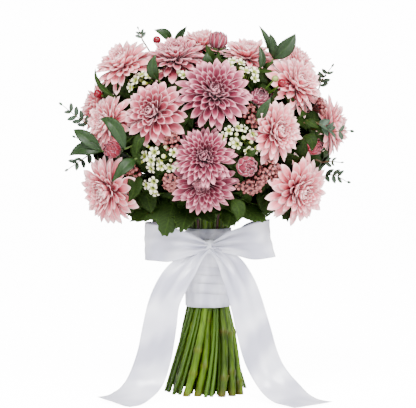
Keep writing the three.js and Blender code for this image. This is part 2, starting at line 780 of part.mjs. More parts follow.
// Dahlia stems, several pressed together in each node, cut flush at the foot
const BELOW_FOOT = 12;
const GROUND_WIDTH = 400;
const GROUND_DEPTH = 60;
const ground = new THREE.BoxGeometry(GROUND_WIDTH, GROUND_WIDTH, GROUND_DEPTH);
ground.translate(0, 0, -GROUND_DEPTH / 2);
const groundBlock = solid(ground);
function stemLine(slot) {
  const [foot, knee] = [0, WRAP_BOTTOM_Z].map((z) => inBundle(slot, z));
  const below = foot.clone().addScaledVector(foot.clone().sub(knee).normalize(), BELOW_FOOT);
  return [below, knee];
}
function dahliaStem({ unit, line, place, axis }) {
  const top = place.clone().addScaledVector(axis, -CALYX_DEPTH - CLEARANCE);
  return tube([...stemLine(unit.slot), ...line, top], STEM_RADIUS, STEM_SIDES, CALYX_FLARE);
}
for (const group of GROUPS) {
  const members = DAHLIAS.filter((d) => d.group === group);
  addNode(`dahlia_stems_${group}`, fuse(members.map(dahliaStem)).subtract(groundBlock), STEM_GREEN);
}
DAHLIAS.forEach((dahlia, i) => {
  addNode(`dahlia_bloom_${dahlia.name}`, dahliaBloom(dahlia, i), dahlia.material);
});

// A spray is one body: its stem, its branches and what they carry
function addSprayNode(name, carried, material) {
  const { unit, trunk, branches } = sprays[name];
  const lines = branches.filter(({ line }) => line).map(({ line }) => line);
  lines.unshift([...stemLine(unit.slot), ...trunk]);
  const tubes = lines.map((line) => tube(line, SPRIG_RADIUS, SPRIG_SIDES));
  addNode(name, fuse([...tubes, ...carried]).subtract(groundBlock), material);
}

// Waxflower
const FLORET_RADIUS = 4.9;
const PINK_FLORET_RADIUS = 4.2;
const FLORET_NOTCH = 0.58;
const FLORET_CUP = 1;
const FLORET_EYE = 0.4;
const NECK_RADIUS = 1.1;
const NECK_DEPTH = 1.6;

// A five-petalled floret: a shallow star on a three-sided stalk, closed between its ten rim points
function floret(centre, axis, radius, turn) {
  const [u, v] = across(axis);
  const at = (angle, r, height) =>
    centre
      .clone()
      .addScaledVector(u, r * Math.cos(turn + angle))
      .addScaledVector(v, r * Math.sin(turn + angle))
      .addScaledVector(axis, height);
  const circle = 2 * Math.PI;
  const rim = [...Array(10).keys()].map((k) => {
    const notch = k % 2 === 1;
    return at((k * circle) / 10, notch ? radius * FLORET_NOTCH : radius, notch ? 0 : FLORET_CUP);
  });
  const stalk = (depth) => [0, 1, 2].map((k) => at((k * circle) / 3, NECK_RADIUS, -depth));
  const points = [...rim, at(0, 0, -FLORET_EYE), ...stalk(NECK_DEPTH), ...stalk(FLORET_DEPTH)];
  const [eye, neck, foot] = [10, 11, 14];
  const faces = [[foot, foot + 2, foot + 1]];
  for (let k = 0; k < 10; k += 1) {
    const next = (k + 1) % 10;
    const [own, after] = [k, k + 1].map((n) => neck + (Math.round((n * 3) / 10) % 3));
    faces.push([eye, k, next], [next, k, own]);
    if (own !== after) faces.push([own, after, next]);
  }
  for (let k = 0; k < 3; k += 1) {
    const next = (k + 1) % 3;
    faces.push([neck + k, foot + k, foot + next], [neck + k, foot + next, neck + next]);
  }
  return facets(points, faces);
}

// A closed waxflower bud, an eight-sided drop
const DROP_RADIUS = 3.4;
const DROP_HEIGHT = 1.3;
const DROP_SINK = 1.5;
function drop(centre) {
  const shape = new THREE.OctahedronGeometry(DROP_RADIUS);
  shape.scale(1, 1, DROP_HEIGHT);
  shape.translate(centre.x, centre.y, centre.z);
  return solid(shape);
}

// A cluster: florets and buds over the dome where the branch divides, three round and a fourth on top.
// The dome is the twigs between them. Its shoulder lies below the florets and its top just under them
const DOME_SIDES = 4;
const DOME_FOOT = -1;
const DOME_WIDTH = 0.95;
const DOME_SHOULDER = CLUSTER_DEPTH - 4.5;
const DOME_TOP = CLUSTER_DEPTH - 1.5;
const RING_REACH = 0.6;
const RING_SINK = 1.5;
const RING_LEAN = 0.05;
function cluster({ middle, spread, count, end, way }, seed, budShare, radius) {
  if (count === 1) return [floret(middle, way, radius, 0)];
  const [u, v] = across(way);
  const random = draws(seed);
  const dome = [
    [0, DOME_FOOT],
    [SPRIG_RADIUS, DOME_FOOT],
    [spread * DOME_WIDTH, DOME_SHOULDER],
    [0, DOME_TOP],
  ];
  const parts = [turned(dome, DOME_SIDES, end, way)];
  const start = random() * 2 * Math.PI;
  for (let k = 0; k < count; k += 1) {
    const angle = start + (k * 2 * Math.PI) / 3;
    const away = k < 3 ? RING_REACH * spread : 0;
    const out = u.clone().multiplyScalar(Math.cos(angle)).addScaledVector(v, Math.sin(angle));
    const rise = random() - (k < 3 ? RING_SINK : 0);
    const place = middle.clone().addScaledVector(out, away).addScaledVector(way, rise);
    const face = way
      .clone()
      .addScaledVector(out, away * RING_LEAN)
      .normalize();
    if (random() < budShare) parts.push(drop(place.addScaledVector(way, -DROP_SINK)));
    else parts.push(floret(place, face, radius, random() * 2 * Math.PI));
  }
  return parts;
}

// White waxflower is nearly all open, pink waxflower mostly in bud
const WHITE_BUDS = 0.1;
const PINK_BUDS = 0.65;
const WHITE_SEED = 300;
const PINK_SEED = 500;
function addWaxflower(kind, clusters, seed, budShare, radius, material) {
  Object.keys(clusters).forEach((key, i) => {
    const name = `${kind}_waxflower_${key}`;
    const { branches } = sprays[name];
    const carried = branches.flatMap((b, k) => cluster(b, seed + 10 * i + k, budShare, radius));
    addSprayNode(name, carried, material);
  });
}
addWaxflower("white", WHITE_CLUSTERS, WHITE_SEED, WHITE_BUDS, FLORET_RADIUS, WAX_WHITE);
addWaxflower("pink", PINK_CLUSTERS, PINK_SEED, PINK_BUDS, PINK_FLORET_RADIUS, WAX_PINK);

// Buds: a ball ribbed by its folded petals, through bands at three latitudes
const BUD_RIBS = 5;
const BUD_BANDS_DEG = [-45, 5, 50];
const BUD_GROOVE = 0.86;
const BUD_TOP = 0.86;
function bud({ place, radius, axis }) {
  const [u, v] = across(axis);
  const around = BUD_RIBS * 2;
  const points = [-1, BUD_TOP].map((share) => place.clone().addScaledVector(axis, share * radius));
  const triangles = [];
  BUD_BANDS_DEG.forEach((band, row) => {
    for (let k = 0; k < around; k += 1) {
      const angle = (k / around) * 2 * Math.PI;
      const r = radius * Math.cos(deg(band)) * (k % 2 ? BUD_GROOVE : 1);
      const first = 2 + row * around;
      points.push(
        place
          .clone()
          .addScaledVector(u, r * Math.cos(angle))
          .addScaledVector(v, r * Math.sin(angle))
          .addScaledVector(axis, radius * Math.sin(deg(band))),
      );
      const next = (k + 1) % around;
      if (row === 0) triangles.push([0, first + next, first + k]);
      else {
        const last = first - around;
        triangles.push([last + k, last + next, first + next], [last + k, first + next, first + k]);
      }
      if (row === BUD_BANDS_DEG.length - 1) triangles.push([1, first + k, first + next]);
    }
  });
  return facets(points, triangles);
}
for (const one of BUDS) addSprayNode(`dahlia_bud_${one.name}`, [bud(one)], one.material);

// Berries
const BERRY_SIDES = 6;
const BERRY_BANDS = 4;
for (const key of Object.keys(BERRIES)) {
  const name = `berries_${key}`;
  const balls = sprays[name].branches.map(({ middle, radius }) => {
    const ball = new THREE.SphereGeometry(radius, BERRY_SIDES, BERRY_BANDS);
    ball.translate(middle.x, middle.y, middle.z);
    return solid(ball);
  });
  addSprayNode(name, balls, BERRY_RED);
}

// A leaf or a cut blade: a thin plate with the given outline, alike on both faces
const LEAF_THICKNESS = 0.8;
function blade(outline, face) {
  const [u, v] = across(face);
  const flatten = (points) => points.map((p) => new THREE.Vector2(p.dot(u), p.dot(v)));
  const upper = THREE.ShapeUtils.isClockWise(flatten(outline)) ? [...outline].reverse() : outline;
  const lower = upper.map((p) => p.clone().addScaledVector(face, -LEAF_THICKNESS));
  const count = upper.length;
  const faces = [];
  for (const [a, b, c] of THREE.ShapeUtils.triangulateShape(flatten(upper), [])) {
    faces.push([a, b, c], [a + count, c + count, b + count]);
  }
  for (let k = 0; k < count; k += 1) {
    const next = (k + 1) % count;
    faces.push([k, k + count, next + count], [k, next + count, next]);
  }
  return facets([...upper, ...lower], faces);
}

// A direction out of the head, square to a given way
function faceOut(place, way) {
  const face = outward(place);
  return face.addScaledVector(way, -face.dot(way)).normalize();
}

// Ruscus leaves: pointed, and bent along their length. Each has its widths along it, as [place, share],
// and its root sinks into the branch
const BROAD_LEAF = 13;
const NARROW_WIDTHS = [[0.45, 1]];
const BROAD_WIDTHS = [
  [0.3, 1],
  [0.68, 0.82],
];
const ROOT_SINK = 1;
function ruscusLeaf(joint, [middle, tip, width]) {
  const [root, half, end] = [joint, middle, tip].map(point);
  const way = end.clone().sub(root).normalize();
  const face = faceOut(root, way);
  const control = half.multiplyScalar(2).addScaledVector(root, -0.5).addScaledVector(end, -0.5);
  const curve = new THREE.QuadraticBezierCurve3(root.addScaledVector(way, -ROOT_SINK), control, end);
  const widths = width < BROAD_LEAF ? NARROW_WIDTHS : BROAD_WIDTHS;
  const edge = (hand) =>
    widths.map(([t, share]) => {
      const side = curve.getTangent(t).cross(face).setLength((hand * share * width) / 2);
      return curve.getPoint(t).add(side);
    });
  return blade([root, ...edge(1), end, ...edge(-1).reverse()], face);
}
for (const [key, branches] of Object.entries(RUSCUS)) {
  const leaves = branches.flatMap(({ joint, leaves }) => leaves.map((leaf) => ruscusLeaf(joint, leaf)));
  addSprayNode(`ruscus_${key}`, leaves, LEAF_GREEN);
}

// Eucalyptus: pairs of leaves on one arched blade, cut to the twig between them. A leaf is a lozenge
// that leans up the twig, and a last small leaf ends it. Its sizes are shares of the leaf's length
const TWIG_HALF = 0.9;
const LEAF_LEAN = 0.7;
const LEAF_HALF_WIDTH = 0.16;
const LEAF_AXIL = 0.4;
const END_LEAF = 0.5;
const FIRST_PAIR = 0.1;
function eucalyptusTwig({ run, leaf, pairs }) {
  const curve = new THREE.CatmullRomCurve3(run.map(point));
  const along = curve.getPoint(1).sub(curve.getPoint(0)).normalize();
  const face = faceOut(curve.getPoint(0.5), along);
  const side = along.clone().cross(face);
  const edge = (hand) => {
    const points = [];
    for (let k = 0; k < pairs; k += 1) {
      const root = curve.getPoint((k + FIRST_PAIR) / pairs).addScaledVector(side, hand * TWIG_HALF);
      const lean = side
        .clone()
        .multiplyScalar(hand)
        .add(along)
        .multiplyScalar(LEAF_LEAN * leaf);
      const back = side
        .clone()
        .multiplyScalar(hand)
        .sub(along)
        .multiplyScalar(LEAF_HALF_WIDTH * leaf);
      points.push(root, root.clone().addScaledVector(lean, 0.5).add(back), root.clone().add(lean));
      if (k === pairs - 1) points.push(root.clone().addScaledVector(along, leaf * LEAF_AXIL));
    }
    return points;
  };
  const start = curve.getPoint(0).addScaledVector(along, -ROOT_SINK);
  const tip = curve.getPoint(1).addScaledVector(along, leaf * END_LEAF);
  return blade([start, ...edge(1), tip, ...edge(-1).reverse()], face);
}
for (const [key, twigs] of Object.entries(EUCALYPTUS)) {
  addSprayNode(`eucalyptus_${key}`, twigs.map(eucalyptusTwig), SAGE);
}

// Lobed leaves: toothed lobes round the petiole's end, drooping to their tips. Each lobe is [angle in
// degrees, share of the leaf's length], and each of its teeth [angle from the lobe's, share of the lobe's]
const LOBES = [
  [-100, 0.52],
  [-52, 0.8],
  [0, 1],
  [52, 0.8],
  [100, 0.52],
];
const LOBE_TEETH = [
  [-13, 0.74],
  [-9, 0.7],
  [0, 1],
  [9, 0.7],
  [13, 0.74],
];
const BETWEEN_LOBES = 0.42;
const LEAF_HEEL = 0.1;
const HEEL_END = 0.12;
const LOBED_DROOP = 0.0035;
function lobedLeaf({ end, way, length }) {
  const side = way.clone().cross(UP).normalize();
  const face = side.clone().cross(way).normalize();
  const heel = end.clone().addScaledVector(way, length * LEAF_HEEL);
  const outline = [];
  const mark = (angle, r) =>
    outline.push(
      heel
        .clone()
        .addScaledVector(way, r * Math.cos(deg(angle)))
        .addScaledVector(side, r * Math.sin(deg(angle)))
        .addScaledVector(face, -LOBED_DROOP * r * r),
    );
  LOBES.forEach(([angle, reach], k) => {
    LOBE_TEETH.forEach(([turn, share]) => mark(angle + turn, reach * share * length));
    if (k < LOBES.length - 1) mark((angle + LOBES[k + 1][0]) / 2, BETWEEN_LOBES * length);
  });
  mark(180, length * HEEL_END);
  return blade(outline, face);
}
for (const key of Object.keys(LOBED)) {
  const name = `lobed_leaves_${key}`;
  addSprayNode(name, sprays[name].branches.map(lobedLeaf), DARK_LEAF);
}

// The tie that holds the stems, hidden under the ribbon
const TIE_SIDES = 18;
const TIE_HEIGHT = 14;
const TIE_THICKNESS = 0.8;
const WRAPPED_GAP = 0.3;
const TIE_INNER = WAIST_RADIUS + WRAPPED_GAP;
const ringProfile = (inner, outer, low, high) => [
  [inner, low],
  [outer, low],
  [outer, high],
  [inner, high],
  [inner, low],
];
const tieProfile = ringProfile(TIE_INNER, TIE_INNER + TIE_THICKNESS, -TIE_HEIGHT / 2, TIE_HEIGHT / 2);
addNode("stem_tie", turned(tieProfile, TIE_SIDES, new THREE.Vector3(0, 0, WAIST_Z), UP), TAPE);

// The ribbon wrap: a sleeve of overlapping turns. The last turn ends as a thicker band at the bottom
const WRAP_INNER = TIE_INNER + TIE_THICKNESS + WRAPPED_GAP;
const WRAP_SIDES = 22;
const WRAP_THICKNESS = 1.1;
const BAND_THICKNESS = 1.5;
const BAND_TOP_Z = WRAP_BOTTOM_Z + 12;
const WRAP_LAYERS = [
  [WRAP_BOTTOM_Z, BAND_THICKNESS],
  [BAND_TOP_Z, BAND_THICKNESS],
  [BAND_TOP_Z, WRAP_THICKNESS],
  [WRAP_TOP_Z, WRAP_THICKNESS],
];
const wrapProfile = [
  [WRAP_INNER, WRAP_BOTTOM_Z],
  ...WRAP_LAYERS.map(([z, thick]) => [WRAP_INNER + thick, z]),
  [WRAP_INNER, WRAP_TOP_Z],
  [WRAP_INNER, WRAP_BOTTOM_Z],
];
addNode("ribbon_wrap", turned(wrapProfile, WRAP_SIDES, new THREE.Vector3(0, 0, 0), UP), SATIN);

// The bow, tied from one length of ribbon: knot, two loops and two tails. The knot rests on the wrap
const RIBBON_THICKNESS = 1.2;
const KNOT_RADIUS = 8;
const KNOT_SCALE = [1.1, 0.62, 1];
const KNOT_SIDES = 8;
const KNOT_BANDS = 5;
const KNOT_X = 2;
const KNOT_Z = 163;
const KNOT_Y = -(WRAP_INNER + WRAP_THICKNESS + WRAPPED_GAP + KNOT_RADIUS * KNOT_SCALE[1]);

// A ribbon through stations of [centre, half width, upward edge direction]
const RIBBON_CORNERS = [
  [1, 1],
  [-1, 1],
  [-1, -1],
  [1, -1],
];
function ribbon(stations) {
  const points = [];
  const triangles = [];
  stations.forEach(([centre, half, edge], k) => {
    const before = stations[Math.max(0, k - 1)][0];
    const after = stations[Math.min(stations.length - 1, k + 1)][0];
    const along = after.clone().sub(before).normalize();
    const rise = edge.clone().addScaledVector(along, -edge.dot(along)).normalize();
    const normal = rise.clone().cross(along).normalize();
    for (const [e, n] of RIBBON_CORNERS) {
      points.push(
        centre
          .clone()
          .addScaledVector(rise, e * half)
          .addScaledVector(normal, (n * RIBBON_THICKNESS) / 2),
      );
    }
    if (!k) return;
    const [a, b] = [4 * (k - 1), 4 * k];
    for (let c = 0; c < 4; c += 1) {
      const d = (c + 1) % 4;
      if (c < 2) triangles.push([a + c, a + d, b + d], [a + c, b + d, b + c]);
      else triangles.push([a + c, a + d, b + c], [a + d, b + d, b + c]);
    }
  });
  const last = points.length - 4;
  triangles.push([0, 2, 1], [0, 3, 2], [last, last + 1, last + 2], [last, last + 2, last + 3]);
  const made = facets(points, triangles);
  if (made.volume() > 0) return made;
  const turnedOut = triangles.map(([a, b, c]) => [a, c, b]);
  return facets(points, turnedOut);
}
const station = ([x, y, z, half, ex = 0, ey = 0, ez = 1]) => [point([x, y, z]), half, point([ex, ey, ez])];

// Loops run out along the front, turn over a soft fold and come back behind. A station is its middle,
// its half width and the direction of its upper edge
const LOOP_LEFT = [
  [0, -34, 163, 4],
  [-9, -41, 164, 8],
  [-24, -50, 166, 14, 0.05, -0.1, 1],
  [-42, -53, 166.5, 19.5, 0.1, -0.2, 1],
  [-58, -48, 168, 20, 0.12, -0.1, 1],
  [-67, -37, 168.5, 20, 0.1, 0, 1],
  [-62, -28, 170, 19.5, 0.08, 0, 1],
  [-44, -27, 169, 18],
  [-30, -30, 167, 12],
  [-12, -33, 164, 6],
  [1, -32, 163, 4],
].map(station);
const LOOP_RIGHT = [
  [4, -34, 163, 4],
  [13, -41, 165, 8],
  [28, -50, 168, 14, -0.05, -0.1, 1],
  [46, -53, 169.5, 19.5, -0.12, -0.2, 1],
  [62, -48, 171.5, 20.2, -0.16, -0.1, 1],
  [70, -37, 172, 20.2, -0.18, 0, 1],
  [66, -28, 172, 20, -0.12, 0, 1],
  [48, -27, 171, 18],
  [33, -30, 168, 12],
  [15, -33, 165, 6],
  [3, -32, 163, 4],
].map(station);

// Tails hang from the knot and lie out along the surface, with slanted ends. A tail is given by points
// on its left and its right edge
const betweenEdges = ([left, right]) => {
  const [from, to] = [point(left), point(right)];
  const across = to.clone().sub(from);
  return [from.add(to).multiplyScalar(0.5), across.length() / 2, across];
};
const TAIL_LEFT = [
  [[-3, -35, 166], [1, -35, 158]],
  [[-16, -42, 161], [-7, -38, 147]],
  [[-33, -49, 151], [-14, -42, 133]],
  [[-50, -54, 135], [-22, -46, 119]],
  [[-63, -58, 108], [-30, -53, 102]],
  [[-70, -59, 78], [-34, -57, 75]],
  [[-76, -59, 50], [-39, -59, 45]],
  [[-84, -62, 28], [-47, -67, 22]],
  [[-95, -66, 13], [-60, -80, 8]],
  [[-110, -70, 5], [-72, -90, 3]],
  [[-131, -73, 1.2], [-88, -100, 0.8]],
].map(betweenEdges);
const TAIL_RIGHT = [
  [[1, -35, 158], [5, -35, 166]],
  [[9, -38, 147], [19, -42, 161]],
  [[14, -42, 132], [36, -49, 151]],
  [[20, -47, 117], [48, -54, 133]],
  [[24, -52, 101], [58, -58, 106]],
  [[30, -57, 74], [67, -59, 77]],
  [[39, -60, 43], [76, -60, 46]],
  [[52, -70, 20], [88, -66, 26]],
  [[66, -85, 8], [103, -74, 12]],
  [[83, -101, 3], [118, -83, 4.5]],
  [[102, -114, 0.8], [140, -91, 1.2]],
].map(betweenEdges);
const knot = new THREE.SphereGeometry(KNOT_RADIUS, KNOT_SIDES, KNOT_BANDS);
knot.scale(...KNOT_SCALE);
knot.translate(KNOT_X, KNOT_Y, KNOT_Z);
const bow = fuse([solid(knot), ...[LOOP_LEFT, LOOP_RIGHT, TAIL_LEFT, TAIL_RIGHT].map(ribbon)]);
addNode("ribbon_bow", bow.subtract(groundBlock), SATIN);

export default bouquet;
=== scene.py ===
from itertools import permutations

import bpy
import numpy as np
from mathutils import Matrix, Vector


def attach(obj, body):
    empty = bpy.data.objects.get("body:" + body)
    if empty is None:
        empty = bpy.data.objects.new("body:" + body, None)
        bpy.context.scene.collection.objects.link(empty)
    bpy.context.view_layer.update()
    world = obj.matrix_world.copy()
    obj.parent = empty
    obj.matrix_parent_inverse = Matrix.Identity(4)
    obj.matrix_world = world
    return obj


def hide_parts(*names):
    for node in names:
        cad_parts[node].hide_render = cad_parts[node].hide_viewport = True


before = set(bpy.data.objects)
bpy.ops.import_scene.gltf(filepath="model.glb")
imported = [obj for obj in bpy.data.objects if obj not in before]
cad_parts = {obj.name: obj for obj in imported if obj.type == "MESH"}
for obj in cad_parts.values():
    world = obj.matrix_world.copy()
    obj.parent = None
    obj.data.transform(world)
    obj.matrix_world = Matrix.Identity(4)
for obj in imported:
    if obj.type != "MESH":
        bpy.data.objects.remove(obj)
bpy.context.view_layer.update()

# The studio: a pale round sweep that the bouquet stands on, and a camera level with its flowers.
# A large soft panel lights them from high on the left, a weaker one from the right, and a white sky.
# All sizes in this file are millimetres until a mesh or a place is made from them.
MM = 0.001
CAMERA_AT = (0, -1600, 290)
AIM_AT = (0, 0, 207)
LENS = 125.8
SWEEP = [(2400, 0), (3000, 120), (3500, 520), (3800, 1200), (3900, 2200)]
SWEEP_SIDES = 96
PANELS = [
    ("key_panel", (-500, -1900, 2500), 1200, 190),
    ("fill_panel", (1700, -1900, 1700), 1500, 130),
]
SKY_STRENGTH = 0.5
FLOOR_GLOW = 14.0


def put(tree, kind, inputs=(), **settings):
    """A node with its settings made and its inputs wired or filled."""
    made = tree.nodes.new(kind)
    for key, value in settings.items():
        setattr(made, key, value)
    for key, value in dict(inputs).items():
        if isinstance(value, bpy.types.NodeSocket):
            tree.links.new(value, made.inputs[key])
        else:
            made.inputs[key].default_value = value
    return made


def maths(tree, operation, *values):
    return put(tree, "ShaderNodeMath", enumerate(values), operation=operation).outputs[0]


def mixed(tree, share, first, second, blend_type="MIX"):
    """One colour over another by a share."""
    inputs = {0: share, 6: first, 7: second}
    return put(tree, "ShaderNodeMix", inputs, data_type="RGBA", blend_type=blend_type).outputs[2]


def ramped(tree, value, low, high, least=0.0, most=1.0):
    """A soft step from least to most as the value goes from low to high."""
    inputs = {"Value": value, "From Min": low, "From Max": high, "To Min": least, "To Max": most}
    return put(tree, "ShaderNodeMapRange", inputs, interpolation_type="SMOOTHSTEP").outputs[0]


def colour(code):
    """A paint code, six hexadecimal digits, as the red, green, blue and alpha of a shader."""
    shares = [int(code[k : k + 2], 16) / 255 for k in (0, 2, 4)]
    return [s / 12.92 if s < 0.04 else ((s + 0.055) / 1.055) ** 2.4 for s in shares] + [1.0]


def new_material(name, **constants):
    """A material, its node tree and its shader, with the shader's constants set."""
    material = bpy.data.materials.new(name)
    material.use_nodes = True
    shader = material.node_tree.nodes["Principled BSDF"]
    for key, value in constants.items():
        shader.inputs[key.replace("_", " ")].default_value = value
    return material, material.node_tree, shader


def linked(name, data):
    made = bpy.data.objects.new(name, data)
    bpy.context.scene.collection.objects.link(made)
    return made


sweep_turns = np.arange(SWEEP_SIDES) * 2 * np.pi / SWEEP_SIDES
sweep_points = [
    (radius * MM * np.cos(turn), radius * MM * np.sin(turn), height * MM)
    for radius, height in SWEEP
    for turn in sweep_turns
]
sweep_faces = [list(range(SWEEP_SIDES))]
for ring in range(len(SWEEP) - 1):
    for k in range(SWEEP_SIDES):
        a = ring * SWEEP_SIDES + k
        b = ring * SWEEP_SIDES + (k + 1) % SWEEP_SIDES
        sweep_faces.append([a, b, b + SWEEP_SIDES, a + SWEEP_SIDES])
sweep_mesh = bpy.data.meshes.new("studio_floor")
sweep_mesh.from_pydata(sweep_points, [], sweep_faces)
floor = linked("studio_floor", sweep_mesh)
floor_paint, tree, shader = new_material("floor_paint", Roughness=0.9)
mottle = put(tree, "ShaderNodeTexNoise", {"Scale": 3.0})
shade = mixed(tree, mottle.outputs[0], colour("F7F7F7"), colour("FBFBFB"))
tree.links.new(shade, shader.inputs["Base Color"])
tree.links.new(shade, shader.inputs["Emission Color"])
seen = put(tree, "ShaderNodeLightPath").outputs["Is Camera Ray"]
tree.links.new(maths(tree, "MULTIPLY", seen, FLOOR_GLOW), shader.inputs["Emission Strength"])
sweep_mesh.materials.append(floor_paint)

for name, place, size, power in PANELS:
    panel = bpy.data.lights.new(name, "AREA")
    panel.shape = "DISK"
    panel.size = size * MM
    panel.energy = power
    lamp = linked(name, panel)
    lamp.location = Vector(place) * MM
    lamp.rotation_euler = (Vector(AIM_AT) - Vector(place)).to_track_quat("-Z", "Y").to_euler()

sky = bpy.data.worlds.new("white_sky")
sky.use_nodes = True
sky.node_tree.nodes["Background"].inputs["Color"].default_value = (1, 1, 1, 1)
sky.node_tree.nodes["Background"].inputs["Strength"].default_value = SKY_STRENGTH
bpy.context.scene.world = sky

camera = linked("camera", bpy.data.cameras.new("camera"))
camera.data.lens = LENS
camera.location = Vector(CAMERA_AT) * MM
camera.rotation_euler = (Vector(AIM_AT) - Vector(CAMERA_AT)).to_track_quat("-Z", "Y").to_euler()
bpy.context.scene.camera = camera

# The collar of lobed leaves: eight dark toothed leaves that hang out from under the head on their own
# petioles. Each blade is thin, palmate and drooping, with a pale vein in each lobe and finer ones
# between. Every spray of the bouquet runs down through the tie to its cut end on the ground.
WRAP_BOTTOM = 95
WRAP_TOP = 181
FOOT_SPREAD = 2.1
FOOT_TWIST = np.radians(26)
BEND_REACH = 0.35
HEAD_CENTRE = np.array([3.0, 0, 275])
UP = np.array([0.0, 0, 1])
TWIG_RADIUS = 1.3
TWIG_TAPER = ([0, WRAP_BOTTOM, WRAP_TOP, 300], [1.65, 1.35, 1.1, 0.75])
TWIG_SIDES = 6
MAIN_TWIG_RUNS = 12
SIDE_TWIG_RUNS = 8
FORKS_AT = (4, 8)
BUNDLE_HEIGHTS = (0, 0.2, 24, 48, 72, WRAP_BOTTOM, 140)
SAME_CUT_END = 4.8
GREEN_BELOW = WRAP_TOP - 20
STEM_GREEN = "35500A"

# Each leaf: its joint, the point its middle lobe runs towards, its length and its droop in degrees
LOBED = {
    "left": [
        ([-32, -47, 213], [-80, -68, 200], 50, 68),
        ([-48, 8, 212], [-100, 14, 196], 46, 40),
        ([-28, 42, 209], [-60, 86, 190], 54, 50),
        ([-18, -44, 211], [-26, -78, 194], 44, 62),
    ],
    "right": [
        ([25, -44, 212], [56, -77, 199], 46, 60),
        ([50, 10, 212], [98, 18, 198], 46, 40),
        ([30, 42, 209], [62, 84, 190], 54, 50),
        ([18, -40, 211], [30, -74, 204], 30, 45),
    ],
}
LOBES = [(-100, 0.6), (-52, 0.9), (0, 1), (52, 0.9), (100, 0.6)]
LOBE_OUTLINE = [(-19, 0.74), (-9, 0.92), (0, 1), (9, 0.92), (19, 0.74)]
HEEL_OUTLINE = [(-180, 0.12), (-150, 0.3), (-128, 0.42), (128, 0.42), (150, 0.3), (180, 0.12)]
HALFWAY_TO_NEXT = 26
BETWEEN_LOBES = 0.62
RIM_POINTS = 184
HEEL_TO_RIM = [0.02, 0.12, 0.25, 0.4, 0.55, 0.7, 0.83, 0.94, 1]
RIM_TO_HEEL = [0.94, 0.83, 0.7, 0.4, 0.12, 0.02]
TEETH = 46
TOOTH = 0.075
DROOP = 0.0035
GROOVE = 0.9
GROOVE_WIDTH = 2.2
RIPPLE = 1.6
RIPPLES = 7
LOBED_THICKNESS = 0.7
LEAF_HEEL = 0.1
LESS_SIDEWAYS = 0.6
LEAF_MARKS = ("along", "across", "edge", "tone", "twig", "low")
LEAF_PAINTS = ("Blade", "Vein", "Edge", "Twig")
LEAF_VEINS = ("Spacing", "Slant", "Vein Strength")


def unit(way):
    return way / np.linalg.norm(way, axis=-1, keepdims=True)


def rings_to_faces(rings, around, skins):
    """Four-sided faces between the rings of each skin, then the faces that close its two ends."""
    k = np.arange(around)
    after = (k + 1) % around
    row = np.stack([k, after, after + around, k + around], axis=1)
    one = np.concatenate([row + ring * around for ring in range(rings - 1)])
    starts = np.arange(skins)[:, None, None] * rings * around
    ends = np.stack([k[::-1], k + (rings - 1) * around])
    return (one[None] + starts).reshape(-1, 4), (ends[None] + starts).reshape(-1, around)


class Growth:
    """Closed skins gathered into one mesh, with marks on their points that its material reads."""

    def __init__(self, *marks):
        self.points = []
        self.faces = []
        self.marks = {name: [] for name in marks}
        self.count = 0

    def add(self, sections, **marks):
        """Skins through rings of points. The last three axes are the rings, round them, and x, y, z."""
        rings, around = sections.shape[-3:-1]
        skins = sections.reshape(-1, rings * around, 3)
        sides, ends = rings_to_faces(rings, around, len(skins))
        a, b, c, d = (skins[0][sides[: (rings - 1) * around, k]] for k in range(4))
        volume = (a * (np.cross(b, c) + np.cross(c, d))).sum()
        for faces in (sides, ends):
            self.faces.extend((faces[:, :: 1 if volume > 0 else -1] + self.count).tolist())
        self.points.append(skins.reshape(-1, 3))
        self.count += skins.shape[0] * skins.shape[1]
        for name, kept in self.marks.items():
            kept.append(np.broadcast_to(marks.get(name, 0.0), sections.shape[:-1]).ravel())

    def piece(self, name, material, slot, *nodes):
        """The mesh as a piece that rides with the bouquet and stands for its solids."""
        mesh = bpy.data.meshes.new(name)
        points = np.concatenate(self.points)
        points[:, 2] = points[:, 2].clip(0)
        mesh.from_pydata((points * MM).tolist(), [], self.faces)
        mesh.polygons.foreach_set("use_smooth", np.ones(len(self.faces), dtype=bool))
        for mark, kept in self.marks.items():
            values = mesh.attributes.new(mark, "FLOAT", "POINT").data
            values.foreach_set("value", np.concatenate(kept).astype(np.float32))
        mesh.materials.append(material)
        made = linked(name, mesh)
        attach(made, "root")
        if nodes:
            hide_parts(*nodes)
        return made


def tube(line, radii, around):
    """Rings round a line, each with its own radius, that don't twist about it."""
    line = np.array(line, float)
    ways = unit(np.gradient(line, axis=0))
    side = unit(np.cross(ways[0], [0.3, 0.9, 0.2]))
    angles = np.arange(around) * 2 * np.pi / around
    radii = np.broadcast_to(radii, len(line))
    rings = []
    for place, way, radius in zip(line, ways, radii):
        side = unit(side - way * side.dot(way))
        other = np.cross(way, side)
        rings.append(place + radius * (np.cos(angles)[:, None] * side + np.sin(angles)[:, None] * other))
    return np.array(rings)


def bend(start, start_way, end, end_way, runs=MAIN_TWIG_RUNS):
    """A curve that leaves one point along a direction and arrives at another along a direction."""
    start, end = np.array(start, float), np.array(end, float)
    reach = np.linalg.norm(end - start) * BEND_REACH
    t = np.linspace(0, 1, runs + 1)[:, None]
    held = [start, start + reach * start_way, end - reach * end_way, end]
    shares = [(1 - t) ** 3, 3 * t * (1 - t) ** 2, 3 * t**2 * (1 - t), t**3]
    return sum(share * place for share, place in zip(shares, held))


def feet(node):
    """The middles of a solid's cut ends on the ground: its lowest corners, gathered by nearness."""
    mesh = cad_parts[node].data
    corners = [v.co.xy / MM for v in mesh.vertices if v.co.z < 0.05 * MM]
    found = []
    for corner in corners:
        near = [group for group in found if any((corner - other).length < SAME_CUT_END for other in group)]
        found = [group for group in found if group not in near]
        found.append([corner] + [other for group in near for other in group])
    middles = []
    for group in found:
        apart = {(round(corner[0], 2), round(corner[1], 2)) for corner in group}
        middles.append(np.mean(list(apart), axis=0))
    return middles


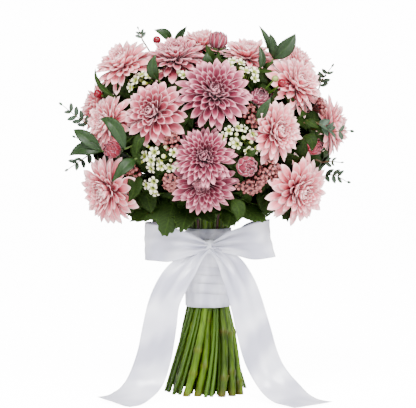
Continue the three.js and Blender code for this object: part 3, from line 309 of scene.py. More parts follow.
def slot_of(foot):
    """Where a stem with this foot stands at the waist."""
    c, s = np.cos(FOOT_TWIST) / FOOT_SPREAD, np.sin(FOOT_TWIST) / FOOT_SPREAD
    return np.array([foot[0] * c - foot[1] * s, foot[0] * s + foot[1] * c])


def in_bundle(slot, height):
    """A slot's place at a height: straight through the wrap, flared and twisted to the foot."""
    below = max(0, (WRAP_BOTTOM - height) / WRAP_BOTTOM)
    spread = 1 + (FOOT_SPREAD - 1) * below
    c, s = np.cos(-FOOT_TWIST * below) * spread, np.sin(-FOOT_TWIST * below) * spread
    return np.array([slot[0] * c - slot[1] * s, slot[0] * s + slot[1] * c, height])


def outward(place):
    return unit(np.array(place, float) - HEAD_CENTRE)


def spray_lines(node, branches):
    """The lines of a spray: its stem from the foot into the furthest branch, then the others, each
    from the joint that points most nearly at its end. A branch is its end and its direction there."""
    slot = slot_of(feet(node)[0])
    start = in_bundle(slot, WRAP_TOP)
    branches = sorted(branches, key=lambda b: -np.linalg.norm(b[0] - start))
    main = bend(start, UP, *branches[0])
    below = [in_bundle(slot, height) for height in BUNDLE_HEIGHTS]
    lines = [np.concatenate([below, main])]
    forks = [(main[k], unit(main[k] - main[k - 2])) for k in FORKS_AT]
    for end, way in branches[1:]:
        forks.sort(key=lambda fork: -fork[1].dot(unit(end - fork[0])))
        place, leaving = forks.pop(0) if len(forks) > 1 else forks[0]
        lines.append(bend(place, leaving, end, way, SIDE_TWIG_RUNS))
    return lines


def spray(node, branches, marks):
    """The twigs of a spray as a new growth, thickest at the cut end, which is flat on the ground."""
    growth = Growth(*marks)
    for line in spray_lines(node, branches):
        rings = tube(line, TWIG_RADIUS * np.interp(line[:, 2], *TWIG_TAPER), TWIG_SIDES)
        if line[0][2] == 0:
            rings[0, :, 2] = 0
        low = (line[:, 2] < GREEN_BELOW).astype(float)[:, None]
        growth.add(rings, twig=1.0, low=low)
    return growth


def lobed_blade(growth, joint, tip, length, droop, seed):
    """Concentric outlines from the heel to the rim on the face and back again underneath."""
    rng = np.random.default_rng(seed)
    way = unit(np.array(tip, float) - joint)
    out = unit(np.array([tip[0] * LESS_SIDEWAYS, tip[1], 0]))
    wanted = UP * np.cos(np.radians(droop)) + out * np.sin(np.radians(droop))
    face = unit(wanted - way * wanted.dot(way))
    side = np.cross(way, face)
    heel = joint + way * length * LEAF_HEEL
    marks = [(lobe + turn, reach * share) for lobe, reach in LOBES for turn, share in LOBE_OUTLINE]
    marks += [(lobe + HALFWAY_TO_NEXT, BETWEEN_LOBES) for lobe, _ in LOBES[:-1]]
    marks = sorted(marks + HEEL_OUTLINE)
    angles = np.linspace(-180, 180, RIM_POINTS, endpoint=False)
    outline = np.interp(angles, *zip(*marks))
    saw = (angles * TEETH / 360 + rng.uniform()) % 1
    jagged = 1 + TOOTH * (np.abs(saw * 2 - 1) - 0.5) + rng.normal(0, 0.01, len(angles))
    outline = outline * length * jagged
    shares = np.array(HEEL_TO_RIM + RIM_TO_HEEL)
    under = np.arange(len(shares)) >= len(HEEL_TO_RIM)
    r = shares[:, None] * outline
    nearest = np.array([LOBES[k][0] for k in np.abs(angles[:, None] - [a for a, _ in LOBES]).argmin(1)])
    off = np.radians(angles - nearest)
    along, across = r * np.cos(off), r * np.sin(off)
    fold = GROOVE * np.exp(-((across / GROOVE_WIDTH) ** 2)) * (r / length)
    ripple = RIPPLE * np.sin(np.radians(angles * RIPPLES) + rng.uniform(0, 6)) * (r / length) ** 2
    height = ripple - fold - DROOP * r * r - LOBED_THICKNESS * under[:, None]
    turn = np.radians(angles)
    points = heel + (r * np.cos(turn))[..., None] * way + (r * np.sin(turn))[..., None] * side
    points = points + height[..., None] * face
    growth.add(points, along=along, across=across, edge=shares[:, None], tone=rng.uniform(-1, 1))


def marks_of(tree, names):
    """The marks on a mesh's points, as a material reads them."""
    return {m: put(tree, "ShaderNodeAttribute", attribute_name=m).outputs["Fac"] for m in names}


def new_group(name, colours, numbers=()):
    """A node group that takes colours and numbers and gives a colour and a height."""
    group = bpy.data.node_groups.new(name, "ShaderNodeTree")
    for key in colours:
        group.interface.new_socket(key, in_out="INPUT", socket_type="NodeSocketColor")
    for key in numbers:
        group.interface.new_socket(key, in_out="INPUT", socket_type="NodeSocketFloat")
    group.interface.new_socket("Color", in_out="OUTPUT", socket_type="NodeSocketColor")
    group.interface.new_socket("Height", in_out="OUTPUT", socket_type="NodeSocketFloat")
    return group


def raised(tree, shader, height, distance, strength):
    """A fine relief on a shader, its depth in metres."""
    inputs = {"Height": height, "Distance": distance, "Strength": strength}
    tree.links.new(put(tree, "ShaderNodeBump", inputs).outputs[0], shader.inputs["Normal"])


def toned(tree, paint, tone, strength, middle=1.0):
    """A colour made lighter or darker by a tone of -1 to 1."""
    lighter = maths(tree, "ADD", middle, maths(tree, "MULTIPLY", tone, strength))
    shade = put(tree, "ShaderNodeCombineColor", {0: lighter, 1: lighter, 2: lighter}).outputs[0]
    return mixed(tree, 1.0, paint, shade, "MULTIPLY")


def leaf_tint_group():
    """Colour and relief of a leaf: midrib, slanting side veins, a paler edge and a mottled blade."""
    group = new_group("Leaf tint", LEAF_PAINTS, LEAF_VEINS)
    given = put(group, "NodeGroupInput").outputs
    marks = marks_of(group, LEAF_MARKS)
    aside = maths(group, "ABSOLUTE", marks["across"])
    midrib = ramped(group, aside, 0.35, 0.9, 1.0, 0.0)
    slanted = maths(group, "SUBTRACT", marks["along"], maths(group, "MULTIPLY", aside, given["Slant"]))
    wave = maths(group, "PINGPONG", maths(group, "DIVIDE", slanted, given["Spacing"]), 0.5)
    side_veins = ramped(group, wave, 0.02, 0.12, 0.8, 0.0)
    veins = maths(group, "MULTIPLY", maths(group, "MAXIMUM", midrib, side_veins), given["Vein Strength"])
    mottle = put(group, "ShaderNodeTexNoise", {"Scale": 180.0, "Detail": 3.0}).outputs[0]
    tinted = mixed(group, ramped(group, mottle, 0.3, 0.75, 0.0, 0.35), given["Blade"], given["Vein"])
    veined = mixed(group, veins, toned(group, tinted, marks["tone"], 0.22), given["Vein"])
    edged = mixed(group, ramped(group, marks["edge"], 0.93, 1.0, 0.0, 0.6), veined, given["Edge"])
    twigs = mixed(group, marks["low"], given["Twig"], colour(STEM_GREEN))
    done = mixed(group, marks["twig"], edged, twigs)
    height = maths(group, "SUBTRACT", maths(group, "MULTIPLY", mottle, 0.3), veins)
    put(group, "NodeGroupOutput", {"Color": done, "Height": height})
    return group


leaf_tint = leaf_tint_group()


def leaf_material(name, paints, veins, roughness, gloss):
    """Paints are those of blade, vein, edge and twig. Veins are their spacing, slant and strength."""
    material, tree, shader = new_material(name, Roughness=roughness, Specular_IOR_Level=gloss)
    tint = put(tree, "ShaderNodeGroup", node_tree=leaf_tint)
    for key, code in zip(LEAF_PAINTS, paints):
        tint.inputs[key].default_value = colour(code)
    for key, value in zip(LEAF_VEINS, veins):
        tint.inputs[key].default_value = value
    tree.links.new(tint.outputs["Color"], shader.inputs["Base Color"])
    raised(tree, shader, tint.outputs["Height"], 0.0004, 0.5)
    return material


dark_leaf = leaf_material(
    "dark_leaf", ("121F05", "283C10", "344A18", "3A4A18"), (5.0, 0.9, 0.42), roughness=0.6, gloss=0.08
)
for key, leaves in LOBED.items():
    node = f"lobed_leaves_{key}"
    ends = [(np.array(joint, float), unit(np.array(tip, float) - joint)) for joint, tip, *_ in leaves]
    growth = spray(node, ends, LEAF_MARKS)
    for k, (joint, tip, length, droop) in enumerate(leaves):
        lobed_blade(growth, joint, tip, length, droop, 40 + k + len(key))
    growth.piece(f"lobed_collar_{key}", dark_leaf, "leaf_dark", node)

# The ruscus: pointed satin leaves on wiry green stems, which stand out between the flowers and above
# them. Each leaf is a thin blade, folded a little along its middle and bent along its length.

# Each branch: its joint and its leaves, and each leaf: a point on its middle, its tip and its width
RUSCUS = {
    "left": [
        ([-86, -97, 269], [([-96, -103, 292], [-112, -93, 300], 15)]),
        (
            [-112, -64, 266],
            [([-130, -62, 281], [-143, -52, 289], 15), ([-131, -62, 269], [-148, -50, 261], 16)],
        ),
        ([-76, -94, 258], [([-86, -104, 250], [-99, -102, 235], 15)]),
        ([-52, -74, 341], [([-58, -82, 353], [-54, -82, 367], 13)]),
        ([-38, -14, 384], [([-46, -27, 391], [-58, -31, 396], 14), ([-28, -20, 392], [-23, -27, 400], 11)]),
    ],
    "right": [
        ([51, -98, 299], [([57, -103, 309], [65, -101, 322], 11)]),
        (
            [70, -46, 364],
            [
                ([64, -48, 382], [54, -44, 400], 9),
                ([69, -54, 379], [65, -52, 391], 9),
                ([84, -50, 377], [93, -46, 391], 17),
            ],
        ),
        ([54, -70, 353], [([57, -72, 364], [53, -66, 378], 8)]),
        ([1, -66, 354], [([-1, -72, 361], [-1, -70, 370], 12)]),
    ],
    "back": [
        ([-98, 62, 310], [([-110, 72, 318], [-124, 76, 328], 15), ([-112, 66, 302], [-126, 66, 294], 14)]),
        ([102, 42, 318], [([115, 54, 323], [128, 62, 334], 15)]),
        ([-31, 68, 366], [([-37, 75, 380], [-43, 77, 396], 13)]),
        ([-20, 108, 300], [([-28, 122, 290], [-32, 127, 274], 14)]),
    ],
}
LEAF_SHAPE = [(0, 0.12), (0.08, 0.4), (0.2, 0.78), (0.36, 1), (0.52, 0.95), (0.68, 0.74)]
LEAF_SHAPE += [(0.82, 0.46), (0.93, 0.2), (1, 0.02)]
ACROSS_LEAF = np.array([-1, -0.75, -0.4, -0.12, 0, 0.12, 0.4, 0.75, 1])
LEAF_THICKNESS = 0.45
FLATTER_EDGE = 0.45
LEAF_ROOM = 5
FRONT_BEFORE = 20
FRONT_RISE = 0.25

# The middles and radii of the balls that leaves, florets, berries and blooms take up in the head
rooms = []


def face_out(place, way, frontal=0.0):
    """A direction out of the head, or as far turned to its front or back as given, square to a way."""
    front = np.array([0, -1.0 if place[1] < FRONT_BEFORE else 1.0, FRONT_RISE])
    face = unit(outward(place) * (1 - frontal) + front * frontal)
    return unit(face - way * face.dot(way))


def swung(side, normal, angle):
    """Two directions square to each other, swung in their own plane by an angle."""
    c, s = np.cos(angle), np.sin(angle)
    return side * c + normal * s, normal * c - side * s


def blade(growth, joint, middle, tip, width, face, shape=LEAF_SHAPE, keel=22, curl=0.0, **marks):
    """A thin leaf from its joint past its middle to its tip, folded up along its middle by an angle."""
    joint, middle, tip = (np.array(p, float) for p in (joint, middle, tip))
    s, widths = np.array(shape).T
    control = 2 * middle - (joint + tip) / 2
    line = ((1 - s) ** 2)[:, None] * joint + (2 * s * (1 - s))[:, None] * control + (s**2)[:, None] * tip
    ways = unit(np.gradient(line, axis=0))
    side = unit(np.cross(ways, face))
    normal = unit(np.cross(side, ways))
    side, normal = swung(side, normal, np.radians(curl) * s[:, None])
    t = ACROSS_LEAF
    half = widths * width / 2
    across = half[:, None] * t
    rise = np.abs(across) * np.tan(np.radians(keel)) * (1 - FLATTER_EDGE * np.abs(t))
    top = line[:, None] + across[..., None] * side[:, None] + rise[..., None] * normal[:, None]
    inner = slice(-2, 0, -1)
    below = top[:, inner] - (LEAF_THICKNESS * (1 - t[inner] ** 2))[:, None] * normal[:, None]
    both = np.concatenate([across, across[:, inner]], axis=1)
    edge = np.concatenate([np.abs(t), np.abs(t[inner])])
    along = s[:, None] * np.linalg.norm(np.diff(line, axis=0), axis=1).sum()
    growth.add(np.concatenate([top, below], axis=1), along=along, across=both, edge=edge, **marks)


green_leaf = leaf_material(
    "green_leaf", ("10220A", "2A4418", "263E14", "3A4C1A"), (2.6, 2.6, 0.3), roughness=0.4, gloss=0.24
)
for key, branches in RUSCUS.items():
    node = f"ruscus_{key}"
    ends = [(np.array(joint, float), outward(joint)) for joint, _ in branches]
    growth = spray(node, ends, LEAF_MARKS)
    rng = np.random.default_rng(len(key))
    for joint, leaves in branches:
        rooms.append((np.array(joint, float), LEAF_ROOM))
        for middle, tip, width in leaves:
            way = unit(np.array(tip, float) - joint)
            face = face_out(joint, way, 0.75)
            blade(growth, joint, middle, tip, width, face, tone=rng.uniform(-1, 1), curl=rng.uniform(-25, 25))
    growth.piece(f"ruscus_leaves_{key}", green_leaf, "leaf", node)

# The eucalyptus: thin brown twigs that reach out of the sides of the head, with pairs of small grey-green
# oval leaves and one at the tip.

# Each twig: the points it runs through, the length of its leaves and its pairs beyond the first
EUCALYPTUS = {
    "left": [
        ([[-125, -28, 291], [-140, -34, 302], [-156, -38, 315]], 10, 3),
        ([[-122, -36, 266], [-136, -44, 256], [-149, -48, 247]], 10, 2),
        ([[-71, -26, 386], [-72, -26, 391], [-75, -24, 397]], 7, 1),
        ([[-120, 40, 268], [-134, 46, 272], [-150, 50, 280]], 10, 2),
    ],
    "right": [
        ([[120, -16, 332], [124, -24, 344], [133, -30, 356]], 10, 3),
        ([[111, -65, 298], [121, -72, 292], [130, -67, 287], [150, -58, 288]], 11, 4),
        ([[122, -26, 238], [136, -34, 240], [149, -40, 233]], 10, 2),
        ([[122, -44, 254], [131, -50, 255], [141, -52, 254]], 8, 1),
        ([[112, 50, 262], [128, 56, 266], [144, 60, 276]], 10, 2),
    ],
}
OVAL_SHAPE = [(0, 0.15), (0.1, 0.55), (0.28, 0.92), (0.5, 1), (0.72, 0.84), (0.88, 0.55), (1, 0.08)]
OVAL_KEEL = 14
OVAL_WIDTH = 0.48
OVAL_BOW = 0.08
FIRST_PAIR_AT = 0.2
PAIRS_OVER = 0.78
LONGEST_OVAL = 1.25
OVALS_SHORTEN = 0.4
TIP_LENGTH = 0.5
TIP_WIDTH = 0.3
EUCALYPTUS_POINTS = 12
EUCALYPTUS_TWIG = (0.9, 0.45)


def through(points, count):
    """A smooth line of so many points that passes through the given ones."""
    points = np.array(points, float)
    held = np.concatenate([[2 * points[0] - points[1]], points, [2 * points[-1] - points[-2]]])
    places = np.linspace(0, len(points) - 1, count)
    first = np.minimum(places.astype(int), len(points) - 2)
    t = (places - first)[:, None] if points.ndim == 2 else places - first
    a, b, c, d = (held[first + k] for k in range(4))
    return b + t * (c - a) / 2 + t**2 * (a - 2.5 * b + 2 * c - d / 2) + t**3 * (1.5 * (b - c) + (d - a) / 2)


sage_leaf = leaf_material(
    "sage_leaf", ("1E3024", "46583E", "5C5A36", "42321C"), (3.2, 1.2, 0.28), roughness=0.5, gloss=0.32
)
for key, twigs in EUCALYPTUS.items():
    node = f"eucalyptus_{key}"
    ends = [(np.array(run[0], float), outward(run[0])) for run, _, _ in twigs]
    growth = spray(node, ends, LEAF_MARKS)
    rng = np.random.default_rng(60 + len(key))
    for run, leaf, pairs in twigs:
        rooms.append((np.array(run[0], float), LEAF_ROOM))
        line = through(run, EUCALYPTUS_POINTS)
        way = unit(line[-1] - line[0])
        growth.add(tube(line, np.linspace(*EUCALYPTUS_TWIG, EUCALYPTUS_POINTS), TWIG_SIDES), twig=1.0)
        count = pairs + 1
        for k in range(2 * count):
            share = FIRST_PAIR_AT + PAIRS_OVER * (k // 2) / count
            place = line[int(share * (EUCALYPTUS_POINTS - 1))]
            face = unit(face_out(place, way, 0.8) + rng.normal(0, 0.3, 3))
            side = unit(np.cross(way, face)) * (1 if k % 2 else -1)
            long = leaf * (LONGEST_OVAL - OVALS_SHORTEN * share) * rng.uniform(0.85, 1.1)
            lean = unit(side + way * rng.uniform(0.5, 1.1))
            tip = place + lean * long
            middle = (place + tip) / 2 + face * long * OVAL_BOW
            tone = rng.uniform(-1, 1)
            blade(growth, place, middle, tip, long * OVAL_WIDTH, face, OVAL_SHAPE, OVAL_KEEL, tone=tone)
        end = line[-1] + way * leaf * TIP_LENGTH
        blade(growth, line[-1], (line[-1] + end) / 2, end, leaf * TIP_WIDTH, face, OVAL_SHAPE, OVAL_KEEL)
    growth.piece(f"eucalyptus_twigs_{key}", sage_leaf, "leaf_sage", node)

# The waxflower: twigs that divide near their ends into small five-petalled florets, each a waxy bowl
# with round petals over a short tube, and closed buds between them. The white is mostly open, and about
# half of the pink is in bud, on red-brown stalks.

# Each cluster: its middle, its radius and how many florets and buds it has
WHITE_CLUSTERS = {
    "left": [([-62, -92, 257], 13, 7), ([-42, -98, 257], 12, 7), ([-60, -80, 228], 8, 4)],
    "upper_left": [([-79, -64, 341], 11, 5), ([-64, -68, 345], 11, 5), ([-28, -79, 347], 5, 2)],
    "right": [([26, -102, 284], 10, 5), ([42, -100, 276], 13, 7)],
    "upper_right": [([32, -68, 360], 10, 5), ([46, -74, 349], 10, 5)],
    "back": [([3, 106, 276], 9, 9), ([100, 52, 292], 8, 8)],
}
PINK_CLUSTERS = {
    "left": [([-38, -99, 276], 9, 13), ([-39, -87, 232], 10, 14), ([-81, -80, 244], 10, 14)],
    "right": [([50, -90, 232], 14, 26), ([66, -88, 244], 12, 22)],
    "upper_right": [([44, -96, 304], 9, 12), ([123, -49, 314], 9, 14)],
    "back": [([-36, 76, 349], 10, 12), ([-97, 52, 290], 10, 12)],
}
FLORET_MARKS = ("heart", "twig", "tone", "along", "low")
CLUSTER_DEPTH = 15
CLUSTER_ROOM = 0.7
CLUSTER_SPREAD = 1.15
CLUSTER_DOME = 0.03
CLUSTER_SPLAY = 0.06
FLORET_PETALS = 5
FLORET_SEAT = 0.42
FLORET_LENGTH = 0.62
FLORET_HALF = 0.36
FLORET_STALK = 3.5
STALK_RADIUS = 0.55
STALK_RUNS = 5
STALK_SIDES = 5
GOLDEN_TURN = np.radians(137.508)

# Rows along a petal: how far along it they are, and its width there as a share of its widest
PETAL_ROWS = [(0, 0.34), (0.14, 0.5), (0.32, 0.76), (0.5, 0.95), (0.66, 1), (0.79, 0.86)]
PETAL_ROWS += [(0.9, 0.56), (1, 0.03)]
ROUND_ROWS = [(0, 0.3), (0.2, 0.6), (0.45, 0.95), (0.7, 1), (0.9, 0.62), (1, 0.15)]

# The rings of a floret's bowl and of a closed bud: how far out they are, in radii, and how high, in
# millimetres for the bowl and in radii for the bud. Then how much of the heart's colour each has
BOWL = [(0.02, -1.3), (0.2, -1.3), (0.34, -0.5), (0.45, 0.5), (0.52, 0.5), (0.48, -0.8), (0.34, -2.6)]
BOWL += [(0.12, -4.2)]
BOWL_HEARTS = [1.0, 1.0, 0.75, 0.4, 0.3, 0.5, 0.6, 0.6]
DROP = [(0.05, 1.25), (0.5, 1.05), (0.85, 0.6), (1, 0), (0.8, -0.7), (0.55, -1.5), (0.3, -2.2)]
DROP_HEARTS = [0.05, 0.1, 0.25, 0.5, 0.7, 0.75, 0.75]


def spokes(axis, angles):
    """Directions square to an axis, at angles round it."""
    side = np.array([1.0, 0, 0]) if abs(axis[2]) > 0.98 else unit(np.cross(UP, axis))
    other = unit(np.cross(axis, side))
    angles = np.asarray(angles)[..., None]
    return np.cos(angles) * side + np.sin(angles) * other


def turned(profile, place, axis, around, scale=1):
    """Rings for a profile of radius and height, turned about an axis."""
    ring = spokes(axis, np.arange(around) * 2 * np.pi / around)
    return np.array([place + out * scale * ring + up * scale * axis for out, up in profile])


def petals(root, out, axis, tilts, length, half, rolls, shape=PETAL_ROWS, sheer=0.5, twist=0.0, steps=6):
    """Closed petals, one for each root. Each runs out and turns from its first tilt to its last, and its
    two edges roll up towards the axis by the first roll at its root and the last at its tip."""
    count = len(root)
    s, widths = np.array(shape).T
    spread = [np.broadcast_to(x, count)[:, None] for x in (*tilts, *rolls, length, half, twist)]
    first, last, low, high, length, half, twist = spread
    tilt = np.radians(first + (last - first) * s)
    lift, reach = np.sin(tilt)[..., None], np.cos(tilt)[..., None]
    way = reach * out[:, None] + lift * axis
    steps_along = np.diff(s, prepend=0)[None, :, None] * length[..., None]
    line = root[:, None] + np.cumsum(way * steps_along, axis=1)
    side = np.broadcast_to(unit(np.cross(axis, out))[:, None], way.shape)
    normal = reach * axis - lift * out[:, None]
    side, normal = swung(side, normal, np.radians(twist * s)[..., None])
    t = np.linspace(-1, 1, steps)
    roll = np.radians(low + (high - low) * s)[..., None]
    wide = (half * widths)[..., None]
    x, y = wide * np.sin(roll * t) / roll, wide * (1 - np.cos(roll * t)) / roll
    top = line[:, :, None] + x[..., None] * side[:, :, None] + y[..., None] * normal[:, :, None]
    inner = slice(-2, 0, -1)
    thick = sheer * (1 - t[inner] ** 2) * np.minimum(1, 1.5 * wide / half[..., None])
    below = top[:, :, inner] - thick[..., None] * normal[:, :, None]
    across = np.concatenate([t, t[inner]])
    return np.concatenate([top, below], axis=2), s[None, :, None], across


def floret(growth, place, axis, radius, turn, tone):
    """Five round cupped petals round a bowl, over a short tube."""
    out = spokes(axis, turn + np.arange(FLORET_PETALS) * 2 * np.pi / FLORET_PETALS)
    root = place + out * radius * FLORET_SEAT - axis * 0.2
    length, half = radius * FLORET_LENGTH, radius * FLORET_HALF
    made, along, _ = petals(root, out, axis, (34, 4), length, half, (30, 30), ROUND_ROWS)
    growth.add(made, along=along, tone=tone)
    profile = [(r * radius, h) for r, h in BOWL]
    growth.add(turned(profile, place, axis, 10), heart=np.array(BOWL_HEARTS)[:, None], tone=tone)


def closed_bud(growth, place, axis, radius, tone):
    """A closed bud: a drop on its tube."""
    rings = turned(DROP, place, axis, 8, radius)
    growth.add(rings, heart=np.array(DROP_HEARTS)[:, None], tone=tone)


def waxflower(kind, key, clusters, bud_share, radius, material, seed):
    """A spray: clusters of florets and buds over a shallow dome, each on a stalk of its own."""
    node = f"{kind}_waxflower_{key}"
    rng = np.random.default_rng(seed)
    ends = []
    for place, spread, _ in clusters:
        rooms.append((np.array(place, float), spread * CLUSTER_ROOM))
        way = outward(place)
        ends.append((place - way * CLUSTER_DEPTH, way))
    growth = spray(node, ends, FLORET_MARKS)
    for (place, spread, count), (fork, way) in zip(clusters, ends):
        for k in range(count):
            away = spread * CLUSTER_SPREAD * np.sqrt((k + 0.4) / count)
            out = spokes(way, k * GOLDEN_TURN)
            rise = rng.uniform(-1.5, 1.5) - away * away * CLUSTER_DOME
            at = place + out * away + way * rise
            face = unit(way + out * away * CLUSTER_SPLAY + rng.normal(0, 0.12, 3))
            small = rng.uniform() < bud_share
            size = radius * rng.uniform(0.9, 1.1)
            stalk = bend(fork, way, at - face * FLORET_STALK, face, STALK_RUNS)
            growth.add(tube(stalk, STALK_RADIUS, STALK_SIDES), twig=1.0)
            if small:
                closed_bud(growth, at, face, size * rng.uniform(0.32, 0.46), rng.uniform(-1, 1))
            else:
                floret(growth, at, face, size, rng.uniform(0, 6), rng.uniform(-1, 1))
    growth.piece(f"{kind}_florets_{key}", material, f"waxflower_{kind}", node)


def floret_material(name, petal, heart, pit, twig):
    """Waxy petals, a coloured bowl with a darker pit, and the stalks under them."""
    material, tree, shader = new_material(name, Roughness=0.38, Specular_IOR_Level=0.35)
    marks = marks_of(tree, FLORET_MARKS)
    speckle = put(tree, "ShaderNodeTexNoise", {"Scale": 500.0, "Detail": 2.0}).outputs[0]
    shaded = mixed(tree, ramped(tree, marks["along"], 0.0, 0.45, 0.45, 0.0), colour(petal), colour(heart))
    flecked = mixed(tree, ramped(tree, speckle, 0.5, 0.8, 0.0, 0.25), shaded, colour(heart))
    bowl = mixed(tree, ramped(tree, marks["heart"], 0.1, 0.6), flecked, colour(heart))
    pitted = mixed(tree, ramped(tree, marks["heart"], 0.8, 0.98), bowl, colour(pit))
    twigs = mixed(tree, marks["low"], colour(twig), colour(STEM_GREEN))
    done = mixed(tree, marks["twig"], pitted, twigs)
    tree.links.new(done, shader.inputs["Base Color"])
    return material


white_wax = floret_material("white_wax", petal="E6E0C4", heart="8E9830", pit="38420E", twig="40501A")
pink_wax = floret_material("pink_wax", petal="9E5E5A", heart="50141A", pit="240408", twig="381410")
for k, (key, clusters) in enumerate(WHITE_CLUSTERS.items()):
    waxflower("white", key, clusters, bud_share=0.22, radius=5.7, material=white_wax, seed=300 + k)
for k, (key, clusters) in enumerate(PINK_CLUSTERS.items()):
    waxflower("pink", key, clusters, bud_share=0.5, radius=4.7, material=pink_wax, seed=500 + k)

# The berries: glossy, round and dark red on short green stalks. The smallest one is still unripe.

# Each berry: its middle and its radius
BERRIES = {
    "left": [([-118, -45, 327], 4.6), ([-55, -32, 385], 4.4), ([-46, 100, 314], 4.6)],
    "right": [([77, -84, 337], 4.8), ([70, -80, 342], 3.6), ([52, 100, 314], 4.6)],
}
UNRIPE_BELOW = 4
BALL = [(max(0.05, np.cos(a)), np.sin(a)) for a in np.linspace(1.5, -1.5, 11)]
STALK_INSIDE = 0.6

berry_skin, tree, shader = new_material("berry_skin", Specular_IOR_Level=0.3)
marks = marks_of(tree, ("twig", "unripe"))
cloud = put(tree, "ShaderNodeTexNoise", {"Scale": 120.0, "Detail": 2.0}).outputs[0]
ripe = mixed(tree, cloud, colour("560012"), colour("7A0418"))
skin = mixed(tree, marks["unripe"], ripe, colour("7E8A4A"))
tree.links.new(mixed(tree, marks["twig"], skin, colour(STEM_GREEN)), shader.inputs["Base Color"])
tree.links.new(ramped(tree, marks["twig"], 0.0, 1.0, 0.24, 0.6), shader.inputs["Roughness"])
tree.links.new(ramped(tree, marks["twig"], 0.0, 1.0, 0.12, 0.0), shader.inputs["Coat Weight"])
for key, berries in BERRIES.items():
    node = f"berries_{key}"
    ends = [(place - outward(place) * radius * STALK_INSIDE, outward(place)) for place, radius in berries]
    growth = spray(node, ends, ("twig", "low", "unripe"))
    for place, radius in berries:
        rooms.append((np.array(place, float), radius))
        unripe = 1.0 if radius < UNRIPE_BELOW else 0.0
        growth.add(turned(BALL, place, outward(place), 18, radius), unripe=unripe)
    growth.piece(f"red_berries_{key}", berry_skin, "berry", node)

# The dahlia buds: five balls of folded petals, each with a ring of green sepals and on a thin green
# stalk of its own. The half open one shows loose petals, and the two at the sides are crimson.

# Each bud: its name, middle, radius, the bearing and the rise of its axis in degrees, and its colour
BUDS = [
    ("top", [11, -50, 383], 11, 5, 74, "petal_bud"),
    ("half_open", [54, -87, 323], 10, 30, 40, "petal_rose"),
    ("round", [40, -99, 251], 12, 10, -4, "petal_bud"),
    ("left", [-100, -76, 268], 10, -30, 10, "petal_bud"),
    ("right", [112, -54, 271], 10, 30, 2, "petal_bud"),
]
PETAL_MARKS = ("along", "across", "age", "tone", "green")
PETAL_PAINTS = ("Throat", "Body", "Rim")
SEPAL_GREEN = "3A5008"
CRIMSON = ("left", "right")

# Each layer of a bud: its petals, its size as a share of the bud's and how far from the crown they end
BUD_LAYERS = [(9, 1.0, 64), (7, 0.88, 44), (6, 0.76, 26)]
BUD_ROWS = [(0, 0.3), (0.15, 0.62), (0.35, 0.92), (0.55, 1), (0.72, 0.86), (0.86, 0.58)]
BUD_ROWS += [(0.95, 0.3), (1, 0.05)]
BUD_CORE = [(0.02, 0.5), (0.4, 0.46), (0.66, 0.2), (0.74, -0.2), (0.52, -0.7), (0.05, -0.9)]
BUD_SWIRL = 0.5
BUD_ROOT = 0.92
BUD_OVERLAP = 1.5
TOP_BUD_OVERLAP = 0.92
HALF_OPEN_MORE = 26
SEPALS = 6
SEPAL_ROOT = 0.95
SEPAL_LENGTH = 0.95
SEPAL_HALF = 0.26


def facing(azimuth, elevation):
    """A direction by its bearing from the front and its rise, in degrees."""
    a, e = np.radians(azimuth), np.radians(elevation)
    return np.array([np.sin(a) * np.cos(e), -np.cos(a) * np.cos(e), np.sin(e)])


def swirled(points, place, axis, turn):
    """Points turned about an axis, each by its own angle."""
    from_place = points - place
    turn = np.broadcast_to(turn, points.shape[:-1])[..., None]
    sideways = np.cross(axis, from_place)
    along_axis = (from_place @ axis)[..., None] * axis
    return place + along_axis + (from_place - along_axis) * np.cos(turn) + sideways * np.sin(turn)


def petal_blush_group():
    """Colour of a petal: deep at its root, paler at rim and tip, finely veined along its length."""
    group = new_group("Petal blush", PETAL_PAINTS)
    given = put(group, "NodeGroupInput").outputs
    marks = marks_of(group, PETAL_MARKS)
    aside = maths(group, "ABSOLUTE", marks["across"])
    drawn_out = [("across", 4.0), ("along", 0.9), ("tone", 60.0)]
    places = [maths(group, "MULTIPLY", marks[mark], factor) for mark, factor in drawn_out]
    lengthwise = put(group, "ShaderNodeCombineXYZ", enumerate(places)).outputs[0]
    veins = put(group, "ShaderNodeTexNoise", {"Vector": lengthwise, "Scale": 2.2, "Detail": 3.0}).outputs[0]
    deep = ramped(group, marks["along"], 0.1, 0.8, 1.0, 0.0)
    young = maths(group, "MULTIPLY", marks["age"], 0.45)
    streak = ramped(group, veins, 0.35, 0.7, 0.0, 0.35)
    depth = maths(group, "MINIMUM", maths(group, "ADD", maths(group, "MAXIMUM", deep, young), streak), 1.0)
    body = mixed(group, depth, given["Body"], given["Throat"])
    rim = maths(group, "MAXIMUM", ramped(group, aside, 0.62, 1.0), ramped(group, marks["along"], 0.72, 1.0))
    rimmed = mixed(group, maths(group, "MULTIPLY", rim, 0.85), body, given["Rim"])
    done = mixed(group, marks["green"], toned(group, rimmed, marks["tone"], 0.07), colour(SEPAL_GREEN))
    put(group, "NodeGroupOutput", {"Color": done, "Height": veins})
    return group


petal_blush = petal_blush_group()


def petal_material(name, throat, body, rim):
    material, tree, shader = new_material(name, Roughness=0.55, Sheen_Weight=0.25, Sheen_Roughness=0.4)
    blush = put(tree, "ShaderNodeGroup", node_tree=petal_blush)
    for key, code in zip(PETAL_PAINTS, (throat, body, rim)):
        blush.inputs[key].default_value = colour(code)
    tree.links.new(blush.outputs["Color"], shader.inputs["Base Color"])
    raised(tree, shader, blush.outputs["Height"], 0.0005, 0.35)
    return material


